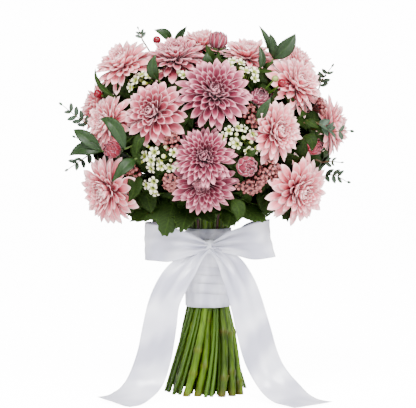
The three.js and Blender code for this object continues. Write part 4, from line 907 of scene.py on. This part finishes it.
petal_paint = {
    "petal_rose": petal_material("rose_petal", "3C0216", "8C2644", "E69CAA"),
    "petal_pink": petal_material("pink_petal", "620A20", "B64C5C", "F8BAC0"),
    "petal_pale": petal_material("pale_petal", "B23850", "F2929A", "FFDAD8"),
    "petal_bud": petal_material("bud_petal", "4A061A", "9C2240", "F2C0C8"),
    "petal_crimson": petal_material("crimson_petal", "6A0218", "8A082C", "D890A4"),
}
for name, place, radius, azimuth, elevation, slot in BUDS:
    growth = Growth(*PETAL_MARKS)
    node = f"dahlia_bud_{name}"
    axis = facing(azimuth, elevation)
    place = np.array(place, float)
    rooms.append((place, radius + 1))
    rng = np.random.default_rng(len(name))
    stalk = spray(node, [(place - axis * radius * 0.7, axis)], LEAF_MARKS)
    stalk.piece(f"bud_stalk_{name}", green_leaf, "stem", node)
    for layer, (count, size, gap) in enumerate(BUD_LAYERS):
        angles = (np.arange(count) + layer * 0.5) * 2 * np.pi / count + rng.normal(0, 0.04, count)
        out = spokes(axis, angles)
        root = place - axis * radius * BUD_ROOT * size + out * 1.0
        loose = gap + rng.normal(0, 6, count) + (HALF_OPEN_MORE if name == "half_open" else 0)
        length = np.pi * radius * size * (1 - loose / 190)
        half = np.pi * radius * size / count * (TOP_BUD_OVERLAP if name == "top" else BUD_OVERLAP)
        tilts = (4, 180 - loose)
        made, along, across = petals(
            root, out, axis, tilts, length, half, (60, 75), BUD_ROWS, sheer=0.6, steps=7
        )
        made = swirled(made, place, axis, BUD_SWIRL * along)
        tone = rng.uniform(-1, 1, count)[:, None, None]
        growth.add(made, along=0.1 + along * 0.55, across=across, age=0.6 + 0.4 * layer, tone=tone)
    growth.add(turned(BUD_CORE, place, axis, 12, radius), age=3.0)
    out = spokes(axis, np.arange(SEPALS) * 2 * np.pi / SEPALS)
    root = place - axis * radius * SEPAL_ROOT + out * 1.5
    half = radius * SEPAL_HALF
    made, along, across = petals(root, out, axis, (10, 40), radius * SEPAL_LENGTH, half, (20, 20))
    growth.add(made, green=1.0, along=along, across=across)
    paint = petal_paint["petal_crimson" if name in CRIMSON else slot]
    growth.piece(f"folded_bud_{name}", paint, slot, node)

# The dahlias: twenty-six double blooms, each a spiral of pointed petals that stand up and close round
# the heart and spread to the rim. The petals are cupped, deep pink at the root and pale along the edge.
# Where two blooms press together, petals rise and shorten to make room.

# Each bloom: its name, middle, radius, the bearing and the rise of its axis in degrees, the group its
# stem stands in, its colour, how many petals it has and half their breadth as a share of its radius
DAHLIAS = [
    ("front_upper", [7, -98, 326], 41, 3, 18, "front", "petal_rose", 104, 0.125),
    ("front_left", [-56, -86, 306], 37, -24, 12, "front_left", "petal_pink", 84, 0.17),
    ("between", [-19, -70, 293], 26, -12, 12, "front_left", "petal_rose", 60, 0.15),
    ("front_centre", [-4, -100, 261], 34, -2, 10, "front", "petal_rose", 120, 0.11),
    ("front_low", [-5, -87, 233], 37, -2, -18, "front", "petal_rose", 120, 0.115),
    ("front_right", [69, -78, 287], 37, 40, 4, "front_right", "petal_pink", 110, 0.145),
    ("left", [-104, -58, 296], 33, -50, 8, "front_left", "petal_pale", 108, 0.15),
    ("low_left", [-104, -60, 225], 40, -45, -12, "side_left", "petal_pale", 112, 0.15),
    ("low_right", [94, -60, 225], 40, 38, -14, "front_right", "petal_pale", 112, 0.15),
    ("right", [131, -16, 293], 36, 72, 4, "front_right", "petal_pale", 108, 0.15),
    ("side_low_left", [-93, 15, 239], 37, -100, -30, "side_left", "petal_pale", 110, 0.12),
    ("back_left", [-50, 87, 282], 39, -152, 0, "side_left", "petal_pink", 110, 0.13),
    ("side_low_right", [99, 15, 239], 37, 100, -30, "back_right", "petal_pale", 110, 0.12),
    ("back_right", [56, 87, 282], 39, 152, 0, "back_right", "petal_pink", 110, 0.13),
    ("back_low", [3, 81, 234], 38, 180, -34, "back_right", "petal_rose", 110, 0.12),
    ("upper_left_centre", [-34, -50, 363], 37, -12, 57, "upper_left", "petal_pink", 112, 0.14),
    ("upper_left", [-90, -40, 357], 36, -40, 45, "upper_left", "petal_pink", 112, 0.155),
    ("far_left", [-120, 4, 315], 33, -80, 22, "upper_left", "petal_pale", 120, 0.13),
    ("back_upper_left", [-68, 49, 333], 37, -128, 36, "upper_left", "petal_pink", 110, 0.13),
    ("top", [-7, -8, 379], 34, -10, 74, "upper_right", "petal_pale", 120, 0.13),
    ("top_right", [43, -24, 366], 35, 18, 65, "upper_right", "petal_pale", 120, 0.13),
    ("upper_right", [93, -42, 336], 37, 42, 26, "upper_right", "petal_pale", 112, 0.155),
    ("far_upper_right", [97, 16, 361], 31, 65, 38, "upper_right", "petal_pale", 116, 0.13),
    ("back_upper_right", [70, 56, 328], 37, 134, 34, "upper_back", "petal_pink", 110, 0.13),
    ("back_top", [3, 46, 358], 35, 180, 62, "upper_back", "petal_pale", 110, 0.13),
    ("back_centre", [3, 90, 317], 36, 180, 24, "upper_back", "petal_pink", 110, 0.13),
]
SUNLIT = ("front_right", "upper_left", "far_left")
OVERLAP = 10
CROWN = 0.57
SEAT = 0.21
DOME = 0.25
LONGEST = 0.8
HEART_SHORTER = 0.58
HEART_NARROWER = 0.5
UPRIGHT = 90

# What changes from the outer petals to the heart: tilt, curl and the roll at root and tip, in degrees
REFLEXED = -12
CURLS = (-24, 46)
ROOT_ROLLS = (70, 90)
TIP_ROLLS = (16, 60)
BLOOM_HEART = [(0.03, 0.3), (0.1, 0.27), (0.13, 0.15), (0.16, -0.05), (0.1, -0.12), (0.02, -0.12)]

MOST_TILT = 74
TILT_STEP = 6
SHORTER = 0.9
FIT_ROUNDS = 18
PETALS_BEFORE = 21
SAME_BEARING = 0.93
rooms += [(np.array(place, float), radius) for _, place, radius, *_ in DAHLIAS]


def walls_of(place, radius, axis):
    """The planes between a bloom and its neighbours and over its crown: their directions and distances."""
    ways, reaches = [], []
    for other, other_radius in rooms:
        distance = np.linalg.norm(other - place)
        if 0.1 < distance < radius + other_radius + 2:
            ways.append((other - place) / distance)
            reaches.append(distance * radius / (radius + other_radius) + OVERLAP)
    ways.append(axis)
    reaches.append(radius * CROWN)
    return np.array(ways), np.array(reaches)


def eased(first, last, share):
    return first + (last - first) * share


def bloom(name, place, radius, axis, slot, count, breadth, seed):
    """A bloom: a spiral of petals from its rim, age 0, to its heart, age 1, fitted between its walls."""
    rng = np.random.default_rng(seed)
    walls, reaches = walls_of(place, radius, axis)
    order = np.arange(count)
    age = order / (count - 1)
    turn = order * GOLDEN_TURN + rng.normal(0, 0.06, count)
    out = spokes(axis, turn)
    seat = radius * SEAT * np.sqrt(1 - age * 0.98)
    lift = radius * DOME * age - 2
    root = place + lift[:, None] * axis + seat[:, None] * out
    tilt = eased(REFLEXED, UPRIGHT, age) + rng.normal(0, 5, count)
    length = radius * (LONGEST - HEART_SHORTER * age**1.3) * rng.normal(1, 0.055, count)
    half = radius * breadth * (1 - HEART_NARROWER * age) * rng.normal(1, 0.06, count)
    curl = eased(*CURLS, age) + rng.normal(0, 5, count)
    rolls = (eased(*ROOT_ROLLS, age), eased(*TIP_ROLLS, age))
    twist = rng.normal(0, 18, count)
    for _ in range(FIT_ROUNDS):
        tilts = (tilt - curl / 2, tilt + curl / 2)
        made, along, across = petals(root, out, axis, tilts, length, half, rolls, twist=twist)
        outside = ((made - place) @ walls.T - reaches).max(axis=(1, 2, 3)) > 0
        if not outside.any():
            break
        can_rise = outside & (tilt < MOST_TILT)
        tilt = np.where(can_rise, tilt + TILT_STEP, tilt)
        length = np.where(outside & ~can_rise, length * SHORTER, length)
        # No petal lies flatter than those outside it on the same bearing
        for k in range(1, count):
            before = np.arange(max(0, k - PETALS_BEFORE), k)
            near = np.cos(turn[before] - turn[k]) > SAME_BEARING
            if near.any():
                tilt[k] = max(tilt[k], tilt[before][near].max() + 1)
    growth = Growth(*PETAL_MARKS)
    tone = rng.uniform(-1, 1, count)[:, None, None]
    growth.add(made, along=along, across=across, age=age[:, None, None], tone=tone)
    growth.add(turned(BLOOM_HEART, place, axis, 12, radius), age=1.0)
    paint = petal_paint["petal_pale" if name in SUNLIT else slot]
    growth.piece(f"dahlia_petals_{name}", paint, slot, f"dahlia_bloom_{name}")


for k, (name, place, radius, azimuth, elevation, _, slot, count, breadth) in enumerate(DAHLIAS):
    bloom(name, np.array(place, float), radius, facing(azimuth, elevation), slot, count, breadth, 100 + k)

# The dahlia stems: smooth and green, each from its cut end through the tie to the calyx under its bloom.
# They bend and swell at the joints, where a stripped leaf has left a brown scar, and have painted shade on
# the side that faces into the bundle. Three leaves under each bloom, and others in the gaps that also stand
# in for the shade between the blooms, fill the head with dark green.
STEM_RADIUS = 3.6
STEM_SIDES = 12
STEM_TAPER = ([0, 60, WRAP_BOTTOM, WRAP_TOP], [1.2, 1.14, 1.02, 0.9])
CUT_HEIGHTS = [0, 0.01, 0.02, 0.6, 4]
WRAPPED_HEIGHTS = [WRAP_BOTTOM, 115, 140, 165]
STEM_HEIGHTS = np.array([*CUT_HEIGHTS, *np.arange(8, WRAP_BOTTOM, 2.5), *WRAPPED_HEIGHTS])
HEAD_RUNS = 14
JOINTS_FROM = [10, 46]
JOINTS_TO = [36, 84]
JOINT_BEND = 1.1
JOINT_LENGTH = 2.6
JOINT_SWELL = 0.26
STUB = [(0.1, 6.2), (1.0, 6.0), (1.5, 4.6), (2.0, 2.0), (2.2, 0)]
BRACTS = 8
BRACT_LENGTH = 13
BRACT_HALF = 4.2
LEAVES_UNDER = 3
LEAF_SPREAD = 0.98
LEAF_BREADTH = 0.55
CALYX_DEPTH = 6
CALYX_LENGTH = 8
CALYX_FLARE = (1.2, 2.1)
CUT_RIM = 0.85
SCAR = 0.5
FOOT_BROWN_OVER = 4
OUTERMOST = 22.4
LOWEST_RISE = -0.35
LEAST_SHARE = 0.12
STEM_MARKS = ("cut", "knuckle", "tone", "pressed")
STEM_GRAIN = (260, 260, 16)
HEAD_REACH = np.array([128.0, 96, 100])
LOWER_HALF = 0.86
GAP_DIRECTIONS = 520
GAP_INSIDE = 10
GAP_FALL = 1.86
GAP_LEAF_ROOT = 0.55

# Each single leaf: its joint, a point on its middle, its tip and its width
SINGLE_LEAVES = [
    ([-96, -60, 322], [-114, -67, 336], [-119, -58, 354], 6),
    ([-70, -86, 252], [-75, -95, 264], [-77, -97, 277], 8),
    ([-82, -76, 244], [-76, -84, 230], [-84, -82, 213], 17),
    ([-72, -50, 232], [-64, -60, 216], [-60, -62, 200], 24),
    ([66, -50, 228], [62, -62, 214], [62, -62, 198], 24),
    ([24, -84, 216], [32, -93, 206], [30, -92, 193], 16),
    ([4, -50, 360], [2, -56, 368], [-2, -54, 379], 9),
    ([14, -60, 352], [10, -68, 360], [12, -66, 370], 10),
    ([58, -62, 350], [62, -70, 356], [70, -70, 360], 6),
    ([52, -66, 352], [60, -74, 350], [70, -76, 350], 6),
    ([108, -58, 290], [116, -68, 292], [122, -66, 284], 12),
    ([104, -66, 300], [108, -74, 296], [118, -70, 290], 10),
    ([100, -72, 282], [108, -82, 278], [108, -78, 266], 14),
    ([-66, -92, 284], [-72, -98, 276], [-74, -96, 262], 12),
    ([36, -92, 268], [44, -100, 264], [50, -98, 270], 9),
    ([-92, -40, 318], [-102, -44, 332], [-100, -42, 348], 24),
    ([-80, -50, 322], [-88, -54, 334], [-92, -50, 346], 20),
    ([-74, -46, 224], [-80, -52, 208], [-72, -54, 195], 26),
    ([80, -28, 224], [86, -34, 206], [80, -36, 192], 26),
    ([100, -30, 322], [108, -34, 330], [120, -30, 330], 18),
]

stem_skin, tree, shader = new_material("stem_skin", Roughness=0.4, Specular_IOR_Level=0.2)
marks = marks_of(tree, STEM_MARKS)
places = {0: put(tree, "ShaderNodeTexCoord").outputs["Object"], 1: STEM_GRAIN}
grain = put(tree, "ShaderNodeVectorMath", places, operation="MULTIPLY").outputs[0]
streaks = put(tree, "ShaderNodeTexNoise", {"Vector": grain, "Scale": 1.0, "Detail": 2.0}).outputs[0]
green = mixed(tree, ramped(tree, streaks, 0.35, 0.7), colour("4A6604"), colour("2C4402"))
# Painted shade: each stem is darker on the side that faces into the bundle, where its neighbours shade it
shaded = mixed(tree, ramped(tree, marks["pressed"], 0.12, 0.55, 0.0, 0.85), green, colour("142200"))
shaded_toned_green = toned(tree, shaded, marks["tone"], 0.3, middle=0.92)
scarred = mixed(tree, maths(tree, "MULTIPLY", marks["knuckle"], streaks), shaded_toned_green, colour("5A3C18"))
done = mixed(tree, marks["cut"], scarred, colour("C9CF9C"))
tree.links.new(done, shader.inputs["Base Color"])
raised(tree, shader, streaks, 0.0002, 0.08)

foliage = Growth(*LEAF_MARKS)
held_by = {}
for name, place, radius, azimuth, elevation, group, *_ in DAHLIAS:
    bloom_held = (name, np.array(place, float), radius, facing(azimuth, elevation))
    held_by.setdefault(group, []).append(bloom_held)
for group, members in held_by.items():
    node = f"dahlia_stems_{group}"
    slots = [slot_of(foot) for foot in feet(node)]
    targets = []
    # Low blooms have their stems on the outside of the bundle, and high ones nearer its middle
    for _, place, _, _ in members:
        way = place - HEAD_CENTRE
        share = (1 - way[2] / np.linalg.norm(way)) / (1 - LOWEST_RISE)
        targets.append(unit(way[:2]) * OUTERMOST * np.sqrt(np.clip(share, LEAST_SHARE, 1)))
    best = min(
        permutations(range(len(members))),
        key=lambda order: sum(np.sum((slots[k] - targets[m]) ** 2) for k, m in enumerate(order)),
    )
    growth = Growth(*STEM_MARKS)
    for slot, index in zip(slots, best):
        name, place, radius, axis = members[index]
        rng = np.random.default_rng(700 + len(name) + int(abs(place[0])))
        neck = place - axis * (CALYX_DEPTH + CALYX_LENGTH)
        below = np.array([in_bundle(slot, height) for height in STEM_HEIGHTS])
        above = bend(in_bundle(slot, WRAP_TOP), UP, neck, axis, HEAD_RUNS)
        top = place - axis * (CALYX_DEPTH - 2)
        line = np.concatenate([below, above, [top]])
        joints = rng.uniform(JOINTS_FROM, JOINTS_TO)
        kinks = np.array([[0, 0], *rng.normal(0, JOINT_BEND, (2, 2)), [0, 0]])
        for k in (0, 1):
            line[:, k] += np.interp(line[:, 2], [0, *joints, WRAP_BOTTOM], kinks[:, k])
        swell = sum(np.exp(-(((line[:, 2] - joint) / JOINT_LENGTH) ** 2)) for joint in joints)
        radii = STEM_RADIUS * np.interp(line[:, 2], *STEM_TAPER) * (1 + JOINT_SWELL * swell)
        radii[:2] = (0.1, STEM_RADIUS * CUT_RIM)
        radii[-2:] = STEM_RADIUS * np.array(CALYX_FLARE)
        rings = tube(line, radii, STEM_SIDES)
        rings[:3, :, 2] = 0
        cut = np.zeros(len(line))
        cut[:2] = 1
        tone = rng.uniform(-1, 1)
        scars = np.maximum(SCAR * swell, np.exp(-line[:, 2] / FOOT_BROWN_OVER))
        # Painted shade mark: how far each point of a stem faces in towards the middle of the bundle, below
        # the wrap's top
        faces_out = unit(rings - line[:, None])[..., :2] @ unit(slot)
        pressed = (0.5 - 0.5 * faces_out) * (line[:, 2] < WRAP_TOP)[:, None]
        growth.add(rings, cut=cut[:, None], knuckle=scars[:, None], tone=tone, pressed=pressed)
        for joint in joints:
            at = line[np.abs(line[:, 2] - joint).argmin()]
            away = unit(rng.normal(0, 1, 3) * [1, 1, 0.1] + [0, 0, 0.5])
            growth.add(turned(STUB, at, away, 8), knuckle=0.8, tone=tone)
        out = spokes(axis, np.arange(BRACTS) * 2 * np.pi / BRACTS)
        root = top + out * 3 - axis * 2
        made, _, _ = petals(root, out, axis, (35, -10), BRACT_LENGTH, BRACT_HALF, (30, 20))
        growth.add(made, tone=tone, knuckle=0.1)
        for k in range(LEAVES_UNDER):
            out = spokes(axis, rng.uniform(0, 0.8) + k * 2 * np.pi / LEAVES_UNDER)
            start = neck + out * 2
            tip = place + out * radius * LEAF_SPREAD - axis * rng.uniform(9, 16)
            middle = (start + tip) / 2 - axis * 3
            width = radius * LEAF_BREADTH
            blade(foliage, start, middle, tip, width, axis, keel=10, tone=rng.uniform(-1, 1))
    growth.piece(f"green_stems_{group}", stem_skin, "stem", node)

# Leaves in the gaps between the blooms: foliage, and also a dark fill that stands in for the shade there
rng = np.random.default_rng(900)
for k in range(GAP_DIRECTIONS):
    height = 1 - GAP_FALL * (k + 0.5) / GAP_DIRECTIONS
    turn = k * GOLDEN_TURN
    ring = np.sqrt(1 - height**2)
    way = np.array([np.cos(turn) * ring, np.sin(turn) * ring, height])
    reach = HEAD_REACH * [1, 1, 1 if height > 0 else LOWER_HALF]
    at = HEAD_CENTRE + way * reach
    if min(np.linalg.norm(at - other) - radius for other, radius in rooms) < -GAP_INSIDE:
        continue
    face = unit(way + rng.normal(0, 0.25, 3))
    lean = unit(np.cross(face, rng.normal(0, 1, 3)))
    start = HEAD_CENTRE + way * reach * GAP_LEAF_ROOT
    middle = at - way * 5 - lean * 4
    tip = at + lean * rng.uniform(12, 20) - way * 3
    width = rng.uniform(18, 25)
    blade(foliage, start, middle, tip, width, face, keel=12, tone=rng.uniform(-1, 1))
for joint, middle, tip, width in SINGLE_LEAVES:
    joint, tip = np.array(joint, float), np.array(tip, float)
    way = unit(tip - joint)
    blade(foliage, joint, middle, tip, width, face_out(joint, way, 0.8), keel=14, tone=rng.uniform(-0.4, 1))
foliage.piece("dahlia_foliage", dark_leaf, "leaf_dark")

# The tie: green florist's tape, wound round the stems at the waist and hidden under the ribbon.
tape, tree, shader = new_material("tape", Roughness=0.7)
crinkle = put(tree, "ShaderNodeTexNoise", {"Scale": 300.0}).outputs[0]
tree.links.new(mixed(tree, crinkle, colour("4F6134"), colour("6E7F4A")), shader.inputs["Base Color"])
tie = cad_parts["stem_tie"]
tie.data.materials.clear()
tie.data.materials.append(tape)

# The wrap: white satin ribbon, 38 mm wide, wound upwards round the stems in overlapping turns. The
# bottom turn shows 12 mm, where the next one crosses it.
RIBBON_WIDTH = 38
WRAP_RADIUS = 25.0
WRAP_TURNS = [0, 1.05, 1.25, 2, 3, 4, 5, 6.1]
WRAP_HEIGHTS = [95, 95, 107, 116, 126, 135, 143, 143]
STEPS_A_TURN = 56
WRAP_ROWS = 8
LAYER = 0.3
FINE_WAVE = 0.25
BROAD_WAVE = 0.5
BOTTOM_TURN = 1.2
RIBBON_SHEER = 0.28
CREASE_SHADE = 0.75

satin, tree, shader = new_material("satin", Roughness=0.3, Specular_IOR_Level=0.9)
weave = put(tree, "ShaderNodeTexNoise", {"Scale": 900.0, "Detail": 2.0}).outputs[0]
# Painted highlights and shade: a broad cloud of lighter and darker white stands in for the satin's soft
# reflections
cloud = put(tree, "ShaderNodeTexNoise", {"Scale": 9.0, "Detail": 0.0}).outputs[0]
white = mixed(tree, cloud, colour("B8B8CA"), colour("F2F2FA"))
# Painted shade: the fold mark darkens the white in the ribbon's hollows, near the knot and over the wrap's
# bottom turn
crease_shaded = mixed(tree, marks_of(tree, ["fold"])["fold"], white, colour("9A9AB0"))
tree.links.new(crease_shaded, shader.inputs["Base Color"])
raised(tree, shader, weave, 0.0002, 0.15)

growth = Growth("fold")
turns = np.linspace(0, WRAP_TURNS[-1], int(WRAP_TURNS[-1] * STEPS_A_TURN) + 1)
sections, shades = [], []
for turn in turns:
    angle = turn * 2 * np.pi
    rows = []
    for share in np.linspace(0, 1, WRAP_ROWS):
        height = np.interp(turn, WRAP_TURNS, WRAP_HEIGHTS) + share * RIBBON_WIDTH
        before = np.interp([turn - k for k in range(1, int(turn) + 1)], WRAP_TURNS, WRAP_HEIGHTS)
        under = ((before <= height + 0.5) & (before + RIBBON_WIDTH >= height)).sum()
        wave = FINE_WAVE * np.sin(9 * angle + 1.2) + BROAD_WAVE * np.sin(5 * angle + share * 1.6 + turn)
        rows.append((WRAP_RADIUS + LAYER * under + wave, height))
        # Painted shade: darker in the hollows of the waves, and more over the bottom turn
        dimmed = (0.55 if turn < BOTTOM_TURN else 0.3) - 0.9 * wave
        shades.append(np.clip(dimmed, 0, 1) * CREASE_SHADE)
    shades += shades[-WRAP_ROWS:][::-1]
    ring = [(r + RIBBON_SHEER, z) for r, z in rows] + [(r, z) for r, z in rows[::-1]]
    sections.append([(r * np.sin(angle), r * np.cos(angle), z) for r, z in ring])
sections = np.array(sections)
growth.add(sections, fold=np.array(shades).reshape(sections.shape[:2]))
wrap = growth.piece("satin_wrap", satin, "satin_ribbon", "ribbon_wrap")

# The bow: one length of the same ribbon, tied in front of the waist. Two loops run out and turn back
# over a soft fold, and two tails hang from the knot and lie out along the surface, with slanted ends.

# Each station of a loop: the middle of the ribbon, half its width there and the way to its upper edge.
# Each station of a tail: a point on its left edge and one on its right edge
LOOP_LEFT = [
    (0, -34, 163, 4, 0, 0, 1),
    (-9, -41, 164, 8, 0, 0, 1),
    (-24, -50, 166, 14, 0.05, -0.1, 1),
    (-42, -53, 166.5, 19.5, 0.1, -0.2, 1),
    (-58, -48, 168, 20, 0.12, -0.1, 1),
    (-67, -37, 168.5, 20, 0.1, 0, 1),
    (-62, -28, 170, 19.5, 0.08, 0, 1),
    (-44, -27, 169, 18, 0, 0, 1),
    (-30, -30, 167, 12, 0, 0, 1),
    (-12, -33, 164, 6, 0, 0, 1),
    (1, -32, 163, 4, 0, 0, 1),
]
LOOP_RIGHT = [
    (4, -34, 163, 4, 0, 0, 1),
    (13, -41, 165, 8, 0, 0, 1),
    (28, -50, 168, 14, -0.05, -0.1, 1),
    (46, -53, 169.5, 19.5, -0.12, -0.2, 1),
    (62, -48, 171.5, 20.2, -0.16, -0.1, 1),
    (70, -37, 172, 20.2, -0.18, 0, 1),
    (66, -28, 172, 20, -0.12, 0, 1),
    (48, -27, 171, 18, 0, 0, 1),
    (33, -30, 168, 12, 0, 0, 1),
    (15, -33, 165, 6, 0, 0, 1),
    (3, -32, 163, 4, 0, 0, 1),
]
TAIL_LEFT = [
    ([-3, -35, 166], [1, -35, 158]),
    ([-16, -42, 161], [-7, -38, 147]),
    ([-33, -49, 151], [-14, -42, 133]),
    ([-50, -54, 135], [-22, -46, 119]),
    ([-63, -58, 108], [-30, -53, 102]),
    ([-70, -59, 78], [-34, -57, 75]),
    ([-76, -59, 50], [-39, -59, 45]),
    ([-84, -62, 28], [-47, -67, 22]),
    ([-95, -66, 13], [-60, -80, 8]),
    ([-110, -70, 5], [-72, -90, 3]),
    ([-131, -73, 1.2], [-88, -100, 0.8]),
]
TAIL_RIGHT = [
    ([1, -35, 158], [5, -35, 166]),
    ([9, -38, 147], [19, -42, 161]),
    ([14, -42, 132], [36, -49, 151]),
    ([20, -47, 117], [48, -54, 133]),
    ([24, -52, 101], [58, -58, 106]),
    ([30, -57, 74], [67, -59, 77]),
    ([39, -60, 43], [76, -60, 46]),
    ([52, -70, 20], [88, -66, 26]),
    ([66, -85, 8], [103, -74, 12]),
    ([83, -101, 3], [118, -83, 4.5]),
    ([102, -114, 0.8], [140, -91, 1.2]),
]
KNOT_AT = np.array([2.0, -31.6, 163])
STRIP_POINTS = 400
STRIP_ROWS = 25
STRIP_STEPS = 72
PLEAT = 2.4
PLEAT_BY_KNOT = 1.3
PLEAT_RUN = 55
SETTLED_ABOVE = 30
SWAY = 2.3
SWAY_RUN = 12
LIES_AT = 0.4
KNOT_HALF = 6.5
KNOT_DEPTH = 4.2
KNOT_HEIGHT = 6.5
KNOT_SWELL = 0.22
KNOT_PLEAT = 0.35


def between_edges(edges):
    """Stations of a ribbon's middle, half width and edge direction from those of its two edges."""
    left, right = np.array(edges, float).transpose(1, 0, 2)
    half = np.linalg.norm(right - left, axis=1, keepdims=True) / 2
    return np.concatenate([(left + right) / 2, half, right - left], axis=1)


def ribbon(growth, stations, pleats, phase, short=(0, 0)):
    """A strip through its stations. Near the knot it is gathered in pleats that fade along it. Its end
    can be cut slanting: short is the share of its length that its lower and upper edge lack."""
    held = through(stations, STRIP_POINTS)
    line, half, edge = held[:, :3], held[:, 3], held[:, 4:]
    ways = unit(np.gradient(line, axis=0))
    rise = unit(edge - ways * (edge * ways).sum(axis=1, keepdims=True))
    normal = np.cross(rise, ways)
    gathered = np.clip(1 - half / (RIBBON_WIDTH / 2), 0, 1) ** 0.7
    soft = PLEAT_BY_KNOT * np.exp(-np.linalg.norm(line - KNOT_AT, axis=1) / PLEAT_RUN)
    lengths = np.cumsum(np.linalg.norm(np.diff(line, axis=0, prepend=line[:1]), axis=1))
    settled = (1 - gathered) * np.clip(line[:, 2] / SETTLED_ABOVE, 0, 1)
    columns, crease_shades = [], []
    for t in np.linspace(-1, 1, STRIP_ROWS):
        end = 1 - np.interp(t, [-1, 1], short)
        at = (np.linspace(0, end, STRIP_STEPS) * (STRIP_POINTS - 1)).astype(int)
        ripple = (PLEAT * gathered + soft) * np.sin(np.pi * pleats * t + phase) * np.cos(np.pi * t / 2)
        ripple = ripple + SWAY * settled * np.sin(lengths / SWAY_RUN + 1.1 * t + phase)
        place = line + (half * t)[:, None] * rise + ripple[:, None] * normal
        columns.append((place[at], normal[at]))
        # Painted shade: darker in the hollows of the pleats and ripples, and where the ribbon is gathered by
        # the knot
        crease_shades.append((np.clip(0.1 - ripple * 0.5 + 0.4 * gathered, 0, 1) * CREASE_SHADE)[at])
    front = np.stack([place for place, _ in columns], axis=1)
    back = np.stack([place - RIBBON_SHEER * facing_out for place, facing_out in columns[::-1]], axis=1)
    rows = np.concatenate([front, back], axis=1)
    rows[..., 2] = np.maximum(rows[..., 2], LIES_AT)
    growth.add(rows, fold=np.stack(crease_shades + crease_shades[::-1], axis=1))
    return np.linalg.norm(np.diff(line, axis=0), axis=1).sum()


growth = Growth("fold")
parts = [
    ribbon(growth, LOOP_LEFT, 3, 0.3),
    ribbon(growth, LOOP_RIGHT, 3, 1.1),
    ribbon(growth, between_edges(TAIL_LEFT), 2.5, 0.2, (0, 0.1)),
    ribbon(growth, between_edges(TAIL_RIGHT), 2.5, 0.9, (0.1, 0)),
]
spread = np.linspace(-1, 1, 21)
pleat = KNOT_PLEAT * np.sin(spread * 14)
swell = 1 + KNOT_SWELL * (1 - spread**2)
knot_rings = []
for angle in np.linspace(0.2, 2 * np.pi - 0.2, 40):
    y = (KNOT_DEPTH * swell + pleat) * np.cos(angle)
    z = (KNOT_HEIGHT * swell + pleat) * np.sin(angle)
    outer = np.stack([spread * KNOT_HALF, y, z], axis=1)
    inner_face = np.stack([spread * (KNOT_HALF - 0.1), y * 0.93, z * 0.95], axis=1)[::-1]
    knot_rings.append(KNOT_AT + np.concatenate([outer, inner_face]))
growth.add(np.array(knot_rings))
bow = growth.piece("satin_bow", satin, "satin_ribbon", "ribbon_bow")
